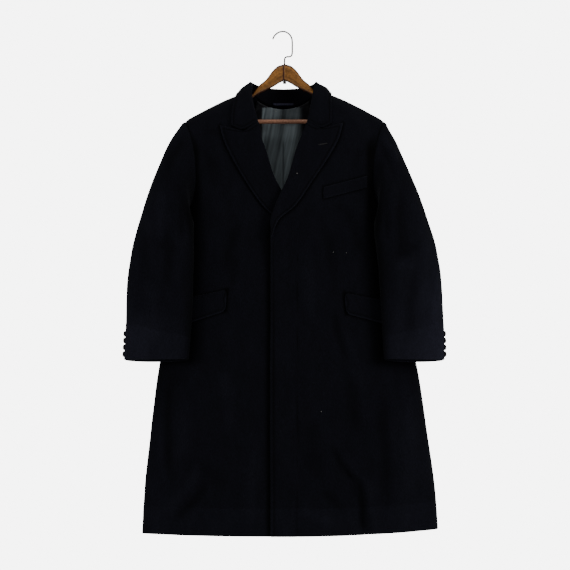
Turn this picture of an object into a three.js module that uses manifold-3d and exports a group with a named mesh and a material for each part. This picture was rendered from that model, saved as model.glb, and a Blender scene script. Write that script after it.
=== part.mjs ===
// A man's long single-breasted wool overcoat with peak lapels, a fly front, a welted chest pocket and two
// slanted flap pockets, hanging closed on a wooden suit hanger with a wire hook and a trouser bar.
// Millimetres, +Z up. The origin is the underside of the hook's bend, where a rail carries it.
// The coat's front faces -Y. "Over" is the front that laps on top (+X side), "under" the one beneath it.
import * as THREE from "three";
import { mergeVertices } from "three/addons/utils/BufferGeometryUtils.js";
import Module from "manifold-3d";

const wasm = await Module();
wasm.setup();

// ---- Driving dimensions ----
const CLOTH = 3; // wall of the coat: wool with its lining
const SEAM_GAP = 0.3; // between pieces that are sewn together
const COLLAR_CLOTH = 4; // wall of the collar and lapels: two layers and canvas
const LINING_CLOTH = 1.2;
const STEM_X = 5; // the hook's stem and the hanger's middle stand this far to the +X side of its bend
const NAPE_Z = -188; // neck seam at the centre back
const NECK_POINT = { x: 84, z: -147.5 }; // where the shoulder seam meets the neck seam
const SHOULDER_TIP = { x: 250, z: -225 };
const ARMPIT_Z = -465;
const HEM_Z = -1260; // at the centre front
const SHOULDER_ROUND = 100; // height over which the shoulder rounds from its seam to full depth
const SQUARENESS = 2.4; // exponent of the body's flattened oval
const VENT_TOP_Z = -800;
const VENT_LAP = 34;

// ---- Tables: a row for each level or section ----
// Body levels: middle (x of the oval's middle), closure (x of the middle of the overlap and of the back seam),
// half (half width), front and back (depths from the hanger's plane).
const BODY = [
  { z: -1270, middle: 14, closure: 0, half: 371, front: 60, back: 46 },
  { z: -1165, middle: 12.5, closure: 0, half: 365, front: 61, back: 46 },
  { z: -1005, middle: 10, closure: -1, half: 346, front: 62, back: 45 },
  { z: -845, middle: 8, closure: -1, half: 324, front: 64, back: 45 },
  { z: -720, middle: 4, closure: 0, half: 294, front: 66, back: 44 },
  { z: -600, middle: 1, closure: 0, half: 268, front: 70, back: 45 },
  { z: -465, middle: 0, closure: -1, half: 255, front: 74, back: 49 },
  { z: -345, middle: 0, closure: -4, half: 267, front: 74, back: 50 },
  { z: -225, middle: 0, closure: -5, half: 290, front: 72, back: 50 },
  { z: -188, middle: 0, closure: -4, half: 292, front: 71, back: 50 },
  { z: -140, middle: 0, closure: -0.5, half: 292, front: 70, back: 50 },
];
// Shoulder line: height of the seam by distance from the middle.
const RIDGE = [
  { x: 0, z: -138 },
  { x: 60, z: -141 },
  { x: 84, z: -147.5 },
  { x: 105, z: -153 },
  { x: 140, z: -166 },
  { x: 187, z: -188.5 },
  { x: 215, z: -203 },
  { x: 240, z: -217 },
  { x: 250, z: -225 },
  { x: 300, z: -262 },
];
// Armhole: distance of the seam from the middle, on the front and on the back.
const ARMHOLE = [
  { z: -465, front: 255, back: 255 },
  { z: -457, front: 247, back: 249 },
  { z: -440, front: 237, back: 241 },
  { z: -410, front: 226, back: 234 },
  { z: -370, front: 221, back: 231 },
  { z: -325, front: 222, back: 232 },
  { z: -285, front: 228, back: 236 },
  { z: -250, front: 237, back: 242 },
  { z: -232, front: 245, back: 247 },
  { z: -225, front: 250, back: 250 },
];
// Inner edge of a front from hem to neck point: distance from the closure, towards its own side.
const INNER_EDGE = [
  { z: -1270, x: -34 },
  { z: -510, x: -34 },
  { z: -482, x: -31 },
  { z: -432, x: -15 },
  { z: -396, x: 2 },
  { z: -352, x: 22 },
  { z: -297, x: 38 },
  { z: -257, x: 54 },
  { z: -226, x: 66 },
  { z: -195, x: 72 },
  { z: -170, x: 78 },
  { z: -147.5, x: 84 },
];
// Lapel edges from the foot of the lapel to its peak: height on the roll line, and the outer edge.
const LAPEL_OVER = [
  { at: 0, rollZ: -500, edgeX: -33, edgeZ: -514 },
  { at: 1 / 7, rollZ: -465, edgeX: -16, edgeZ: -471 },
  { at: 0.27, rollZ: -428, edgeX: 26, edgeZ: -434 },
  { at: 0.45, rollZ: -376, edgeX: 70, edgeZ: -371 },
  { at: 0.65, rollZ: -315, edgeX: 109, edgeZ: -313 },
  { at: 0.84, rollZ: -263, edgeX: 135.5, edgeZ: -264 },
  { at: 1, rollZ: -228, edgeX: 145, edgeZ: -229 },
];
const LAPEL_UNDER = [
  { at: 0, rollZ: -500, edgeX: 31, edgeZ: -514 },
  { at: 1 / 7, rollZ: -465, edgeX: 2, edgeZ: -484 },
  { at: 0.27, rollZ: -428, edgeX: -54, edgeZ: -434 },
  { at: 0.45, rollZ: -376, edgeX: -98, edgeZ: -371 },
  { at: 0.65, rollZ: -315, edgeX: -132, edgeZ: -312 },
  { at: 0.84, rollZ: -263, edgeX: -152, edgeZ: -268 },
  { at: 1, rollZ: -228, edgeX: -161, edgeZ: -235 },
];
const NOTCH = { over: { x: 91, z: -242.5 }, under: { x: -102, z: -249 } };
// Collar sections from the nape to the gorge: where the section stands on the neck seam (0 nape, 1 neck point,
// 2 gorge), the middle between both sides, its fold, how far the fold leans (degrees from straight back), then a
// point on its fall and its outer edge: distance from the middle, and the angle round the shoulder (0 on its
// seam, 90 at full depth, back positive). `more` widens the under side's outer edge.
const COLLAR = [
  { at: 0, seam: 0, mid: -3, foldX: 0, foldY: 47, foldZ: -141, lean: 0, overX: 0, overTurn: 62, edgeX: 0,
    edgeTurn: 77, more: 0 },
  { at: 1, seam: 0.45, mid: -2, foldX: 38, foldY: 42, foldZ: -139, lean: 20, overX: 43, overTurn: 56, edgeX: 48,
    edgeTurn: 72, more: 0 },
  { at: 2, seam: 0.8, mid: -1, foldX: 70, foldY: 24, foldZ: -131, lean: 52, overX: 80, overTurn: 36, edgeX: 90,
    edgeTurn: 50, more: 0 },
  { at: 3, seam: 1, mid: 0, foldX: 84, foldY: 0, foldZ: -127, lean: 88, overX: 102, overTurn: 0, edgeX: 114,
    edgeTurn: 0, more: 3 },
  { at: 4, seam: 1.3, mid: -3, foldX: 78, foldY: -36, foldZ: -148, lean: 124, overX: 100, overTurn: -34,
    edgeX: 119, edgeTurn: -30, more: 2 },
  { at: 5, seam: 1.65, mid: -5, foldX: 68, foldY: -62, foldZ: -188, lean: 148, overX: 97, overTurn: -64,
    edgeX: 121, edgeTurn: -53, more: 4 },
  { at: 6, seam: 2, mid: -5, foldX: 60, foldY: -73.5, foldZ: -226, lean: 168, overX: 96, overTurn: -84.5,
    edgeX: 121, edgeTurn: -73.5, more: 6 },
];
// Sleeve rings from armhole to cuff: x of the ring's outer end and of its inner end on each side, the least x of
// its back half, heights and depths of both ends, and half the ring's thickness.
const SLEEVE = [
  { at: 0, outOver: 251, outUnder: 252, inOver: 255, inUnder: 255, back: 255, outZ: -226, inZ: -465, outY: -2,
    inY: -2, thick: 50 },
  { at: 0.06, outOver: 260, outUnder: 267, inOver: 238, inUnder: 240, back: 262, outZ: -241, inZ: -466, outY: -6,
    inY: -28, thick: 51 },
  { at: 0.14, outOver: 277, outUnder: 286, inOver: 223, inUnder: 227, back: 264, outZ: -272, inZ: -474, outY: -11,
    inY: -50, thick: 49 },
  { at: 0.25, outOver: 301, outUnder: 310, inOver: 223, inUnder: 226, back: 264, outZ: -325, inZ: -502, outY: -17,
    inY: -63, thick: 45 },
  { at: 0.38, outOver: 328, outUnder: 335, inOver: 228, inUnder: 226, back: 262, outZ: -388, inZ: -542, outY: -23,
    inY: -71, thick: 41 },
  { at: 0.52, outOver: 354, outUnder: 359, inOver: 234, inUnder: 227, back: 258, outZ: -460, inZ: -594, outY: -29,
    inY: -76, thick: 37 },
  { at: 0.66, outOver: 381, outUnder: 382, inOver: 238, inUnder: 228, back: 250, outZ: -550, inZ: -650, outY: -35,
    inY: -79, thick: 33 },
  { at: 0.8, outOver: 393, outUnder: 394, inOver: 241, inUnder: 231, back: 243, outZ: -640, inZ: -708, outY: -41,
    inY: -80, thick: 29 },
  { at: 0.91, outOver: 397, outUnder: 396, inOver: 244, inUnder: 234, back: 240, outZ: -730, inZ: -764, outY: -46,
    inY: -80, thick: 24 },
  { at: 1, outOver: 399, outUnder: 400, inOver: 248, inUnder: 239, back: 240, outZ: -818, inZ: -816, outY: -50,
    inY: -79, thick: 20 },
];
// Seams of the two-piece sleeve: angle round the ring, 0 outer end, 90 front, 180 inner end.
const SLEEVE_SEAMS = { hindTop: -75, hindCuff: -14, foreTop: 120, foreCuff: 186 };
// Soft folds of the skirt: a ridge (raise > 0) or trough along a line from its top to its foot.
const FOLDS = [
  { face: -1, topX: 122, topZ: -690, footX: 170, footZ: -1262, width: 26, raise: -7 },
  { face: -1, topX: 128, topZ: -990, footX: 205, footZ: -1262, width: 15, raise: -11 },
  { face: -1, topX: 265, topZ: -760, footX: 292, footZ: -1262, width: 36, raise: 9 },
  { face: -1, topX: -285, topZ: -800, footX: -300, footZ: -1262, width: 22, raise: -9 },
  { face: -1, topX: -190, topZ: -930, footX: -245, footZ: -1262, width: 34, raise: 7 },
  { face: -1, topX: -95, topZ: -880, footX: -110, footZ: -1262, width: 38, raise: -4 },
  { face: 1, topX: 150, topZ: -700, footX: 190, footZ: -1262, width: 42, raise: 9 },
  { face: 1, topX: -140, topZ: -720, footX: -185, footZ: -1262, width: 42, raise: 9 },
  { face: 1, topX: 60, topZ: -860, footX: 85, footZ: -1262, width: 28, raise: -7 },
  { face: 1, topX: -275, topZ: -860, footX: -305, footZ: -1262, width: 30, raise: -7 },
];
// Hanger arm: heights of its edges by distance from the middle. Past the collar its top follows the shoulder.
const ARM = [
  { x: 0.3, top: -79.5, bottom: -121, thick: 13 },
  { x: 16, top: -84, bottom: -129, thick: 13 },
  { x: 29, top: -95, bottom: -137, thick: 13 },
  { x: 47, top: -118.5, bottom: -146, thick: 13.5 },
  { x: 63, top: -132, bottom: -153.5, thick: 14 },
  { x: 75, top: -147.5, bottom: -160.5, thick: 12 },
  { x: 83, top: -156.3, bottom: -167, thick: 12 },
  { x: 95, top: -157.5, bottom: -174, thick: 12.5 },
  { x: 110, top: -160, bottom: -182, thick: 13 },
  { x: 140, top: -171, bottom: -198, thick: 14 },
  { x: 175, top: -187.5, bottom: -217, thick: 17 },
  { x: 205, top: -203, bottom: -235, thick: 19 },
  { x: 222, top: -212.5, bottom: -238, thick: 19 },
];
const BAR = { z: -223.5, radius: 5.5, end: 204, socketEnd: 206, socketStart: 165 };
const WIRE = 2; // radius of the hook's wire
// Middle line of the hook's wire, from its tip, measured from the stem.
const HOOK = [
  { x: -29.5, z: -18 },
  { x: -27.5, z: -12 },
  { x: -22, z: -5.2 },
  { x: -14, z: 0.2 },
  { x: -5, z: 2 },
  { x: 4, z: 0.4 },
  { x: 12, z: -5.2 },
  { x: 17.5, z: -14 },
  { x: 19.2, z: -26 },
  { x: 19.2, z: -40 },
  { x: 19, z: -52 },
  { x: 17, z: -58.5 },
  { x: 12, z: -61 },
  { x: 5.5, z: -61.5 },
  { x: 1.2, z: -64 },
  { x: 0, z: -70 },
  { x: 0, z: -96 },
  { x: 0, z: -128 },
];
const NUT = { radius: 5, top: -122.5, bottom: -129.5 };
const BUTTON = { radius: 7.5, thick: 3, stand: 0.6, count: 4, first: 0.9356, pitch: 0.0169, angle: -4 };
// Corners of what lies on the fronts: inner low, outer low, outer high, inner high.
const FLAP = {
  over: [
    { x: 154, z: -704 },
    { x: 262, z: -732 },
    { x: 262, z: -674 },
    { x: 149, z: -652 },
  ],
  under: [
    { x: -147, z: -697 },
    { x: -260, z: -734 },
    { x: -260, z: -670 },
    { x: -144, z: -644 },
  ],
};
const WELT = [
  { x: 97, z: -417 },
  { x: 205, z: -388 },
  { x: 205, z: -361 },
  { x: 97, z: -389 },
];
const LINING = { bottom: -560, halfLow: 175, halfHigh: 66, pleat: 5, pleatX: -6 };

// ---- Small tools ----
const clamp = (v, lo, hi) => Math.min(hi, Math.max(lo, v));
const mix = (a, b, t) => a + (b - a) * t;
const smooth = (t) => {
  const c = clamp(t, 0, 1);
  return c * c * (3 - 2 * c);
};
const steps = (n) => Array.from({ length: n }, (_, i) => i / (n - 1));
const radians = (d) => (d * Math.PI) / 180;

// Reads a table by its key column with a smooth curve through its rows (Hermite, with limited slopes).
function reader(table, key) {
  const rows = [...table].sort((a, b) => a[key] - b[key]);
  const columns = Object.keys(rows[0]).filter((c) => c !== key);
  const slope = (c, i) => {
    if (i === 0 || i === rows.length - 1) return null;
    const before = (rows[i][c] - rows[i - 1][c]) / (rows[i][key] - rows[i - 1][key]);
    const after = (rows[i + 1][c] - rows[i][c]) / (rows[i + 1][key] - rows[i][key]);
    return before * after <= 0 ? 0 : (2 * before * after) / (before + after);
  };
  return (value) => {
    const v = clamp(value, rows[0][key], rows[rows.length - 1][key]);
    let i = 0;
    while (i < rows.length - 2 && v > rows[i + 1][key]) i++;
    const span = rows[i + 1][key] - rows[i][key];
    const t = (v - rows[i][key]) / span;
    const out = {};
    for (const c of columns) {
      const chord = (rows[i + 1][c] - rows[i][c]) / span;
      const m0 = (slope(c, i) ?? chord) * span;
      const m1 = (slope(c, i + 1) ?? chord) * span;
      out[c] =
        (2 * t ** 3 - 3 * t ** 2 + 1) * rows[i][c] +
        (t ** 3 - 2 * t ** 2 + t) * m0 +
        (-2 * t ** 3 + 3 * t ** 2) * rows[i + 1][c] +
        (t ** 3 - t ** 2) * m1;
    }
    return out;
  };
}

const bodyAt = reader(BODY, "z");
const ridgeAt = reader(RIDGE, "x");
const armholeAt = reader(ARMHOLE, "z");
const innerEdgeAt = reader(INNER_EDGE, "z");
const sleeveAt = reader(SLEEVE, "at");
const armAt = reader(ARM, "x");
const collarAt = reader(COLLAR, "at");
const lapelAt = { over: reader(LAPEL_OVER, "at"), under: reader(LAPEL_UNDER, "at") };

// Closed solid between two grids of points, grid[row][column], with strips round the border.
function slab(outer, inner) {
  const rows = outer.length;
  const columns = outer[0].length;
  const points = [...outer.flat(), ...inner.flat()];
  const at = (layer, r, c) => layer * rows * columns + r * columns + c;
  const index = [];
  const quad = (a, b, c, d) => index.push(a, b, c, a, c, d);
  for (let r = 0; r < rows - 1; r++) {
    for (let c = 0; c < columns - 1; c++) {
      quad(at(0, r, c), at(0, r, c + 1), at(0, r + 1, c + 1), at(0, r + 1, c));
      quad(at(1, r, c), at(1, r + 1, c), at(1, r + 1, c + 1), at(1, r, c + 1));
    }
  }
  for (let c = 0; c < columns - 1; c++) {
    quad(at(0, 0, c + 1), at(0, 0, c), at(1, 0, c), at(1, 0, c + 1));
    quad(at(0, rows - 1, c), at(0, rows - 1, c + 1), at(1, rows - 1, c + 1), at(1, rows - 1, c));
  }
  for (let r = 0; r < rows - 1; r++) {
    quad(at(0, r, 0), at(0, r + 1, 0), at(1, r + 1, 0), at(1, r, 0));
    quad(at(0, r, columns - 1), at(1, r, columns - 1), at(1, r + 1, columns - 1), at(0, r + 1, columns - 1));
  }
  return solid(points, index);
}

// Geometry from points and triangles, turned so that its faces point out.
function solid(points, index) {
  let volume = 0;
  for (let i = 0; i < index.length; i += 3) {
    const [a, b, c] = [points[index[i]], points[index[i + 1]], points[index[i + 2]]];
    volume += a.dot(new THREE.Vector3().crossVectors(b, c));
  }
  if (volume < 0) {
    for (let i = 0; i < index.length; i += 3) [index[i + 1], index[i + 2]] = [index[i + 2], index[i + 1]];
  }
  const geometry = new THREE.BufferGeometry().setFromPoints(points).setIndex(index);
  geometry.computeVertexNormals();
  return geometry;
}

// Solid through closed rings of points, with flat ends.
function loft(rings) {
  const count = rings[0].length;
  const points = rings.flat();
  const index = [];
  for (let r = 0; r < rings.length - 1; r++) {
    for (let i = 0; i < count; i++) {
      const j = (i + 1) % count;
      const [a, b] = [r * count + i, r * count + j];
      index.push(a, b, b + count, a, b + count, a + count);
    }
  }
  const end = (rings.length - 1) * count;
  for (let i = 1; i < count - 1; i++) {
    index.push(0, i + 1, i);
    index.push(end, end + i, end + i + 1);
  }
  return solid(points, index);
}

function toManifold(geometry) {
  const bare = geometry.index ? geometry.clone() : mergeVertices(geometry.clone());
  bare.deleteAttribute("normal");
  bare.deleteAttribute("uv");
  const merged = mergeVertices(bare, 1e-3);
  return new wasm.Manifold(
    new wasm.Mesh({
      numProp: 3,
      vertProperties: merged.attributes.position.array,
      triVerts: new Uint32Array(merged.index.array),
    }),
  );
}

function fromManifold(manifold) {
  const mesh = manifold.getMesh();
  const geometry = new THREE.BufferGeometry();
  geometry.setAttribute("position", new THREE.BufferAttribute(mesh.vertProperties.slice(), 3));
  geometry.setIndex(new THREE.BufferAttribute(mesh.triVerts.slice(), 1));
  geometry.computeVertexNormals();
  return geometry;
}

// ---- The body's surface ----
const ridgeZ = (x, z) => ridgeAt(Math.abs(x - bodyAt(z).middle)).z;

// Push of the folds at a place on the front (-1) or back (1), outwards.
function foldPush(x, z, face) {
  let push = 0;
  for (const f of FOLDS) {
    if (f.face !== face || z > f.topZ) continue;
    const along = (f.topZ - z) / (f.topZ - f.footZ);
    const line = mix(f.topX, f.footX, along);
    push += f.raise * smooth(along * 1.6) * Math.exp(-(((x - line) / f.width) ** 2));
  }
  return push;
}

// How far the under front is pressed back where the over front and its lapel lie on it.
function tuck(x, z) {
  const lapelZone = smooth((z + 590) / 80);
  return smooth((x + 130) / 92) * (7 + 9 * lapelZone) * smooth((-305 - z) / 88);
}

// How far the over front's edge stands off at the foot of its lapel.
const lift = (x, z) => 5 * smooth((8 - x) / 40) * Math.exp(-(((z + 545) / 85) ** 2));

// y of the coat's outer surface. layer is "over", "under" or "back".
function surfaceY(x, z, layer) {
  const face = layer === "back" ? 1 : -1;
  const level = bodyAt(z);
  const across = Math.min(1, Math.abs(x - level.middle) / level.half);
  const oval = (1 - across ** SQUARENESS) ** (1 / SQUARENESS);
  const below = clamp((ridgeZ(x, z) - z) / SHOULDER_ROUND, 0, 1);
  const rounding = Math.sqrt(1 - (1 - below) ** 2);
  const depth = (face < 0 ? level.front : level.back) + foldPush(x, z, face);
  let y = face * (depth * oval * rounding + SEAM_GAP / 2);
  if (layer === "under") y += tuck(x, z);
  if (layer === "over") y -= lift(x, z);
  return y;
}
const onCoat = (x, z, layer) => new THREE.Vector3(x, surfaceY(x, z, layer), z);

// Outward direction of the surface, from two short steps on it, one towards the middle and one down.
function surfaceNormal(x, z, layer) {
  const here = onCoat(x, z, layer);
  const inward = x > bodyAt(z).middle ? -0.6 : 0.6;
  const side = onCoat(x + inward, z, layer).sub(here);
  const down = onCoat(x, z - 0.6, layer).sub(here);
  const normal = side.cross(down).normalize();
  return (layer === "back" ? normal.y < 0 : normal.y > 0) ? normal.negate() : normal;
}

// Place raised off the coat by a height square to its surface.
const raised = (x, z, layer, height) =>
  onCoat(x, z, layer).addScaledVector(surfaceNormal(x, z, layer), height);

// Hem height at a place across the coat: it rises to the side seams, and the back hangs a little lower.
function hemZ(x, layer) {
  const rise = x < 0 ? 7 * (x / 357) ** 2 : 18 * (x / 384) ** 2;
  return HEM_Z + rise - (layer === "back" ? 4 * Math.max(0, 1 - Math.abs(x) / 220) : 0);
}

// ---- Fronts and backs ----
const PANEL = { columns: 13, low: 12, up: 12 };

// x of the inner edge of a piece of the body at a height.
function innerX(z, layer, side) {
  const closure = bodyAt(z).closure;
  if (layer !== "back") return closure + side * innerEdgeAt(z).x;
  const vent = side < 0 ? VENT_LAP * smooth((VENT_TOP_Z - z) / 14) : 0;
  return closure + vent + (side * SEAM_GAP) / 2;
}

// Neck point of a side, on the shoulder line.
function neckPoint(side) {
  const x = bodyAt(NECK_POINT.z).closure + side * NECK_POINT.x;
  return { x, z: ridgeZ(x, NECK_POINT.z) };
}

// Place on the back's neck seam, t from the nape (0) to the neck point (1).
function napeAt(t, side) {
  const z = mix(NAPE_Z, neckPoint(side).z, t ** 2.2);
  const start = bodyAt(NAPE_Z).closure + (side * SEAM_GAP) / 2;
  return { x: mix(start, neckPoint(side).x, t), z };
}

// Place on the armhole seam: angle 0 at the shoulder tip, 180 at the armpit.
function armholePlace(angle, side, face) {
  const half = (SHOULDER_TIP.z - ARMPIT_Z) / 2;
  const z = ARMPIT_Z + half + half * Math.cos(radians(angle));
  return { x: side * armholeAt(z)[face], z };
}

// Height share of a panel's upper rows, closer together towards the shoulder.
const upShare = (w) => 1 - (1 - w) ** 1.7;

// Places (x, z) of a panel: rows from hem to armpit, then rows that close in on the armhole and shoulder.
function panelPlaces(layer, side) {
  const across = (z, u) => {
    const level = bodyAt(z);
    const start = Math.asin(clamp((side * (innerX(z, layer, side) - level.middle)) / level.half, -1, 1));
    return level.middle + side * level.half * Math.sin(mix(start, Math.PI / 2, u));
  };
  const columns = steps(PANEL.columns);
  const rows = steps(PANEL.low).map((v) => {
    const level = mix(HEM_Z, ARMPIT_Z, v);
    return columns.map((u) => {
      const x = across(level, u);
      return { x, z: level + (hemZ(x, layer) - HEM_Z) * (1 - v) };
    });
  });
  const shoulder = (t) => {
    const x = mix(neckPoint(side).x, side * SHOULDER_TIP.x, t);
    return { x, z: ridgeZ(x, mix(NECK_POINT.z, SHOULDER_TIP.z, t)) };
  };
  const neckShare = 5 / 12;
  const top = (u) => {
    if (layer !== "back") return shoulder(u);
    return u < neckShare ? napeAt(u / neckShare, side) : shoulder((u - neckShare) / (1 - neckShare));
  };
  const inner = (w) => {
    const z = mix(ARMPIT_Z, layer === "back" ? NAPE_Z : neckPoint(side).z, upShare(w));
    return { x: innerX(z, layer, side), z };
  };
  const armhole = (w) => armholePlace(180 * (1 - w), side, layer === "back" ? "back" : "front");
  const corners = [inner(0), armhole(0), top(0), armhole(1)];
  for (const w of steps(PANEL.up + 1).slice(1)) {
    const up = upShare(w);
    rows.push(
      columns.map((u) => {
        const base = { x: across(ARMPIT_Z, u), z: ARMPIT_Z };
        const [cap, left, right] = [top(u), inner(w), armhole(w)];
        if (w === 1) return cap;
        const place = (k) =>
          mix(base[k], cap[k], up) +
          mix(left[k], right[k], u) -
          mix(mix(corners[0][k], corners[1][k], u), mix(corners[2][k], corners[3][k], u), up);
        return { x: place("x"), z: place("z") };
      }),
    );
  }
  return rows;
}

function panel(layer, side) {
  const face = layer === "back" ? 1 : -1;
  const places = panelPlaces(layer, side);
  const sink = (x, z) => {
    if (layer !== "back" || side > 0) return 0;
    return 6 * smooth((VENT_TOP_Z + 110 - z) / 55) * smooth((x + 45) / 40);
  };
  const outer = places.map((row) =>
    row.map(({ x, z }) => {
      const p = onCoat(x, z, layer);
      p.y -= sink(x, z);
      return p;
    }),
  );
  const inner = places.map((row, r) =>
    row.map(({ x, z }, c) => {
      const p = outer[r][c].clone().addScaledVector(surfaceNormal(x, z, layer), -CLOTH);
      p.y = face * Math.max(face * p.y, SEAM_GAP / 2);
      if (layer === "back" && c === 0) p.x = outer[r][c].x;
      return p;
    }),
  );
  return slab(outer, inner);
}

// x of a front's inner edge on its own straight runs between rows, at a height.
const EDGE_ROWS = steps(PANEL.low).map((v) => mix(HEM_Z, ARMPIT_Z, v));
for (const w of steps(PANEL.up + 1).slice(1)) EDGE_ROWS.push(mix(ARMPIT_Z, NECK_POINT.z, upShare(w)));
function frontEdgeX(z, layer, side) {
  let i = 0;
  while (i < EDGE_ROWS.length - 2 && z > EDGE_ROWS[i + 1]) i++;
  const t = (z - EDGE_ROWS[i]) / (EDGE_ROWS[i + 1] - EDGE_ROWS[i]);
  return mix(innerX(EDGE_ROWS[i], layer, side), innerX(EDGE_ROWS[i + 1], layer, side), t);
}

// ---- Sleeves ----
// Point on a sleeve ring: t from armhole to cuff, angle from the outer end round the front.
function sleevePoint(t, angle, side) {
  const ring = sleeveAt(t);
  const turned = ((angle % 360) + 360) % 360;
  const [c, s] = [Math.cos(radians(turned)), Math.sin(radians(turned))];
  const outX = side > 0 ? ring.outOver : ring.outUnder;
  const frontX = side > 0 ? ring.inOver : ring.inUnder;
  const inX = mix(frontX, Math.max(frontX, ring.back), smooth(-s * 2.5));
  const outer = new THREE.Vector3(outX, ring.outY, ring.outZ);
  const inner = new THREE.Vector3(inX, ring.inY, ring.inZ);
  const along = outer.clone().sub(inner).multiplyScalar(0.5);
  const across = new THREE.Vector3(0, -1, 0);
  across.addScaledVector(along, -across.dot(along) / along.lengthSq()).normalize();
  const p = outer.clone().add(inner).multiplyScalar(0.5);
  p.addScaledVector(along, c).addScaledVector(across, ring.thick * s);
  if (s < 0) p.z += 7 * s * smooth((t - 0.85) / 0.15);
  const seam = armholePlace(turned > 180 ? 360 - turned : turned, 1, s < 0 ? "back" : "front");
  const layer = s < 0 ? "back" : side > 0 ? "over" : "under";
  const start = new THREE.Vector3(seam.x, 0, seam.z);
  if (Math.abs(s) > 1e-6) start.y = surfaceY(side * seam.x, seam.z, layer);
  start.x += SEAM_GAP * 2;
  start.z += SEAM_GAP * 2 * smooth((-c - 0.5) * 2);
  start.lerp(p, smooth(t / 0.16));
  clearBody(start, side, t);
  start.x *= side;
  return start;
}

// Moves a point of the sleeve out of the body's side, where the sleeve is folded against it.
function clearBody(p, side, t) {
  const level = bodyAt(p.z);
  const spare = 3.5 * smooth(t / 0.08);
  const half = level.half + side * level.middle + spare;
  const depth = (p.y < 0 ? level.front : level.back) + spare;
  const inside = (Math.max(0, p.x) / half) ** SQUARENESS + (Math.abs(p.y) / depth) ** SQUARENESS;
  if (inside >= 1) return;
  const push = mix(1, inside ** (-1 / SQUARENESS), smooth((-395 - p.z) / 50));
  p.x *= push;
  p.y *= push;
}

function sleeveNormal(t, angle, side) {
  const [t0, t1] = [Math.max(0, t - 0.01), Math.min(1, t + 0.01)];
  const round = sleevePoint(t, angle + 2, side).sub(sleevePoint(t, angle - 2, side));
  const down = sleevePoint(t1, angle, side).sub(sleevePoint(t0, angle, side));
  return { normal: round.clone().cross(down).normalize().multiplyScalar(side), round: round.normalize() };
}

const SLEEVE_ROWS = 15;
function sleevePiece(name, side) {
  const columns = name === "top" ? 14 : 12;
  const outer = [];
  const inner = [];
  for (const v of steps(SLEEVE_ROWS)) {
    const t = v ** 1.25;
    const hind = mix(SLEEVE_SEAMS.hindTop, SLEEVE_SEAMS.hindCuff, t);
    const fore = mix(SLEEVE_SEAMS.foreTop, SLEEVE_SEAMS.foreCuff, smooth(t * 2.6));
    const [from, to] = name === "top" ? [hind, fore] : [fore, hind + 360];
    outer.push([]);
    inner.push([]);
    steps(columns).forEach((u, c) => {
      const angle = mix(from, to, u);
      const p = sleevePoint(t, angle, side);
      const { normal, round } = sleeveNormal(t, angle, side);
      if (v === 0) {
        const turned = ((angle % 360) + 360) % 360;
        const back = turned > 180;
        const seam = armholePlace(back ? 360 - turned : turned, side, back ? "back" : "front");
        normal.copy(surfaceNormal(seam.x, seam.z, back ? "back" : side > 0 ? "over" : "under"));
      }
      if (c === 0) p.addScaledVector(round, SEAM_GAP / 2);
      if (c === columns - 1) p.addScaledVector(round, -SEAM_GAP / 2);
      outer[outer.length - 1].push(p);
      inner[inner.length - 1].push(p.clone().addScaledVector(normal, -CLOTH));
    });
  }
  return slab(outer, inner);
}

// ---- Lapels ----
// Fold of a lapel: d across from the roll line, h above the front. A half turn, then the fall on the front.
// `depth` is how far a layer lies inside the outer one.
function foldProfile(width, depth) {
  const radius = 5.5 - depth;
  const turn = [-90, -130, -170, 150, 115, 90].map((a) => ({
    d: radius * Math.cos(radians(a)) - 0.9,
    h: 2.5 + radius * Math.sin(radians(a)),
  }));
  const fall = [0.12, 0.28, 0.46, 0.64, 0.82, 1].map((s) => ({
    d: width * s,
    h: mix(8, COLLAR_CLOTH + 1.4, smooth(s)) + 2 * Math.sin(Math.PI * s) - depth,
  }));
  return [...turn, ...fall];
}

function lapel(layer) {
  const notch = NOTCH[layer];
  const side = layer === "over" ? 1 : -1;
  const grid = (depth) =>
    steps(15).map((v) => {
      const row = lapelAt[layer](v);
      const rollX = frontEdgeX(row.rollZ, layer, side);
      const [dx, dz] = [row.edgeX - rollX, row.edgeZ - row.rollZ];
      const width = Math.hypot(dx, dz);
      const notchShare = (notch.x - rollX) / dx;
      const fall = mix(row.rollZ, row.edgeZ, notchShare) - notch.z;
      return foldProfile(width, depth).map(({ d, h }) => {
        // The top edge dips to the notch between the roll line and the peak.
        const share = clamp(d / width, 0, 1);
        const dip = share < notchShare ? share / notchShare : (1 - share) / (1 - notchShare);
        const x = rollX + (dx / width) * d;
        const z = row.rollZ + (dz / width) * d - fall * Math.max(0, dip) * smooth((v - 0.55) / 0.45);
        return new THREE.Vector3(x, surfaceY(x, z, layer) - h, z);
      });
    });
  return slab(grid(0), grid(COLLAR_CLOTH - 0.5));
}

// ---- Collar ----
// Neck seam: 0 nape, 1 neck point, 2 gorge.
function neckSeam(t, side) {
  if (t <= 1) {
    const { x, z } = napeAt(t, side);
    return onCoat(x, z, "back");
  }
  const layer = side > 0 ? "over" : "under";
  const z = mix(neckPoint(side).z, -226, t - 1);
  return onCoat(innerX(z, layer, side), z, layer);
}

// Place round the shoulder: angle 0 on its seam, 90 at full depth, back positive.
function roundShoulder(x, turn, side, height) {
  const z = ridgeZ(x, -160) - SHOULDER_ROUND * (1 - Math.cos(radians(turn)));
  return raised(x, z, turn > 0 ? "back" : side > 0 ? "over" : "under", height);
}

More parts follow.
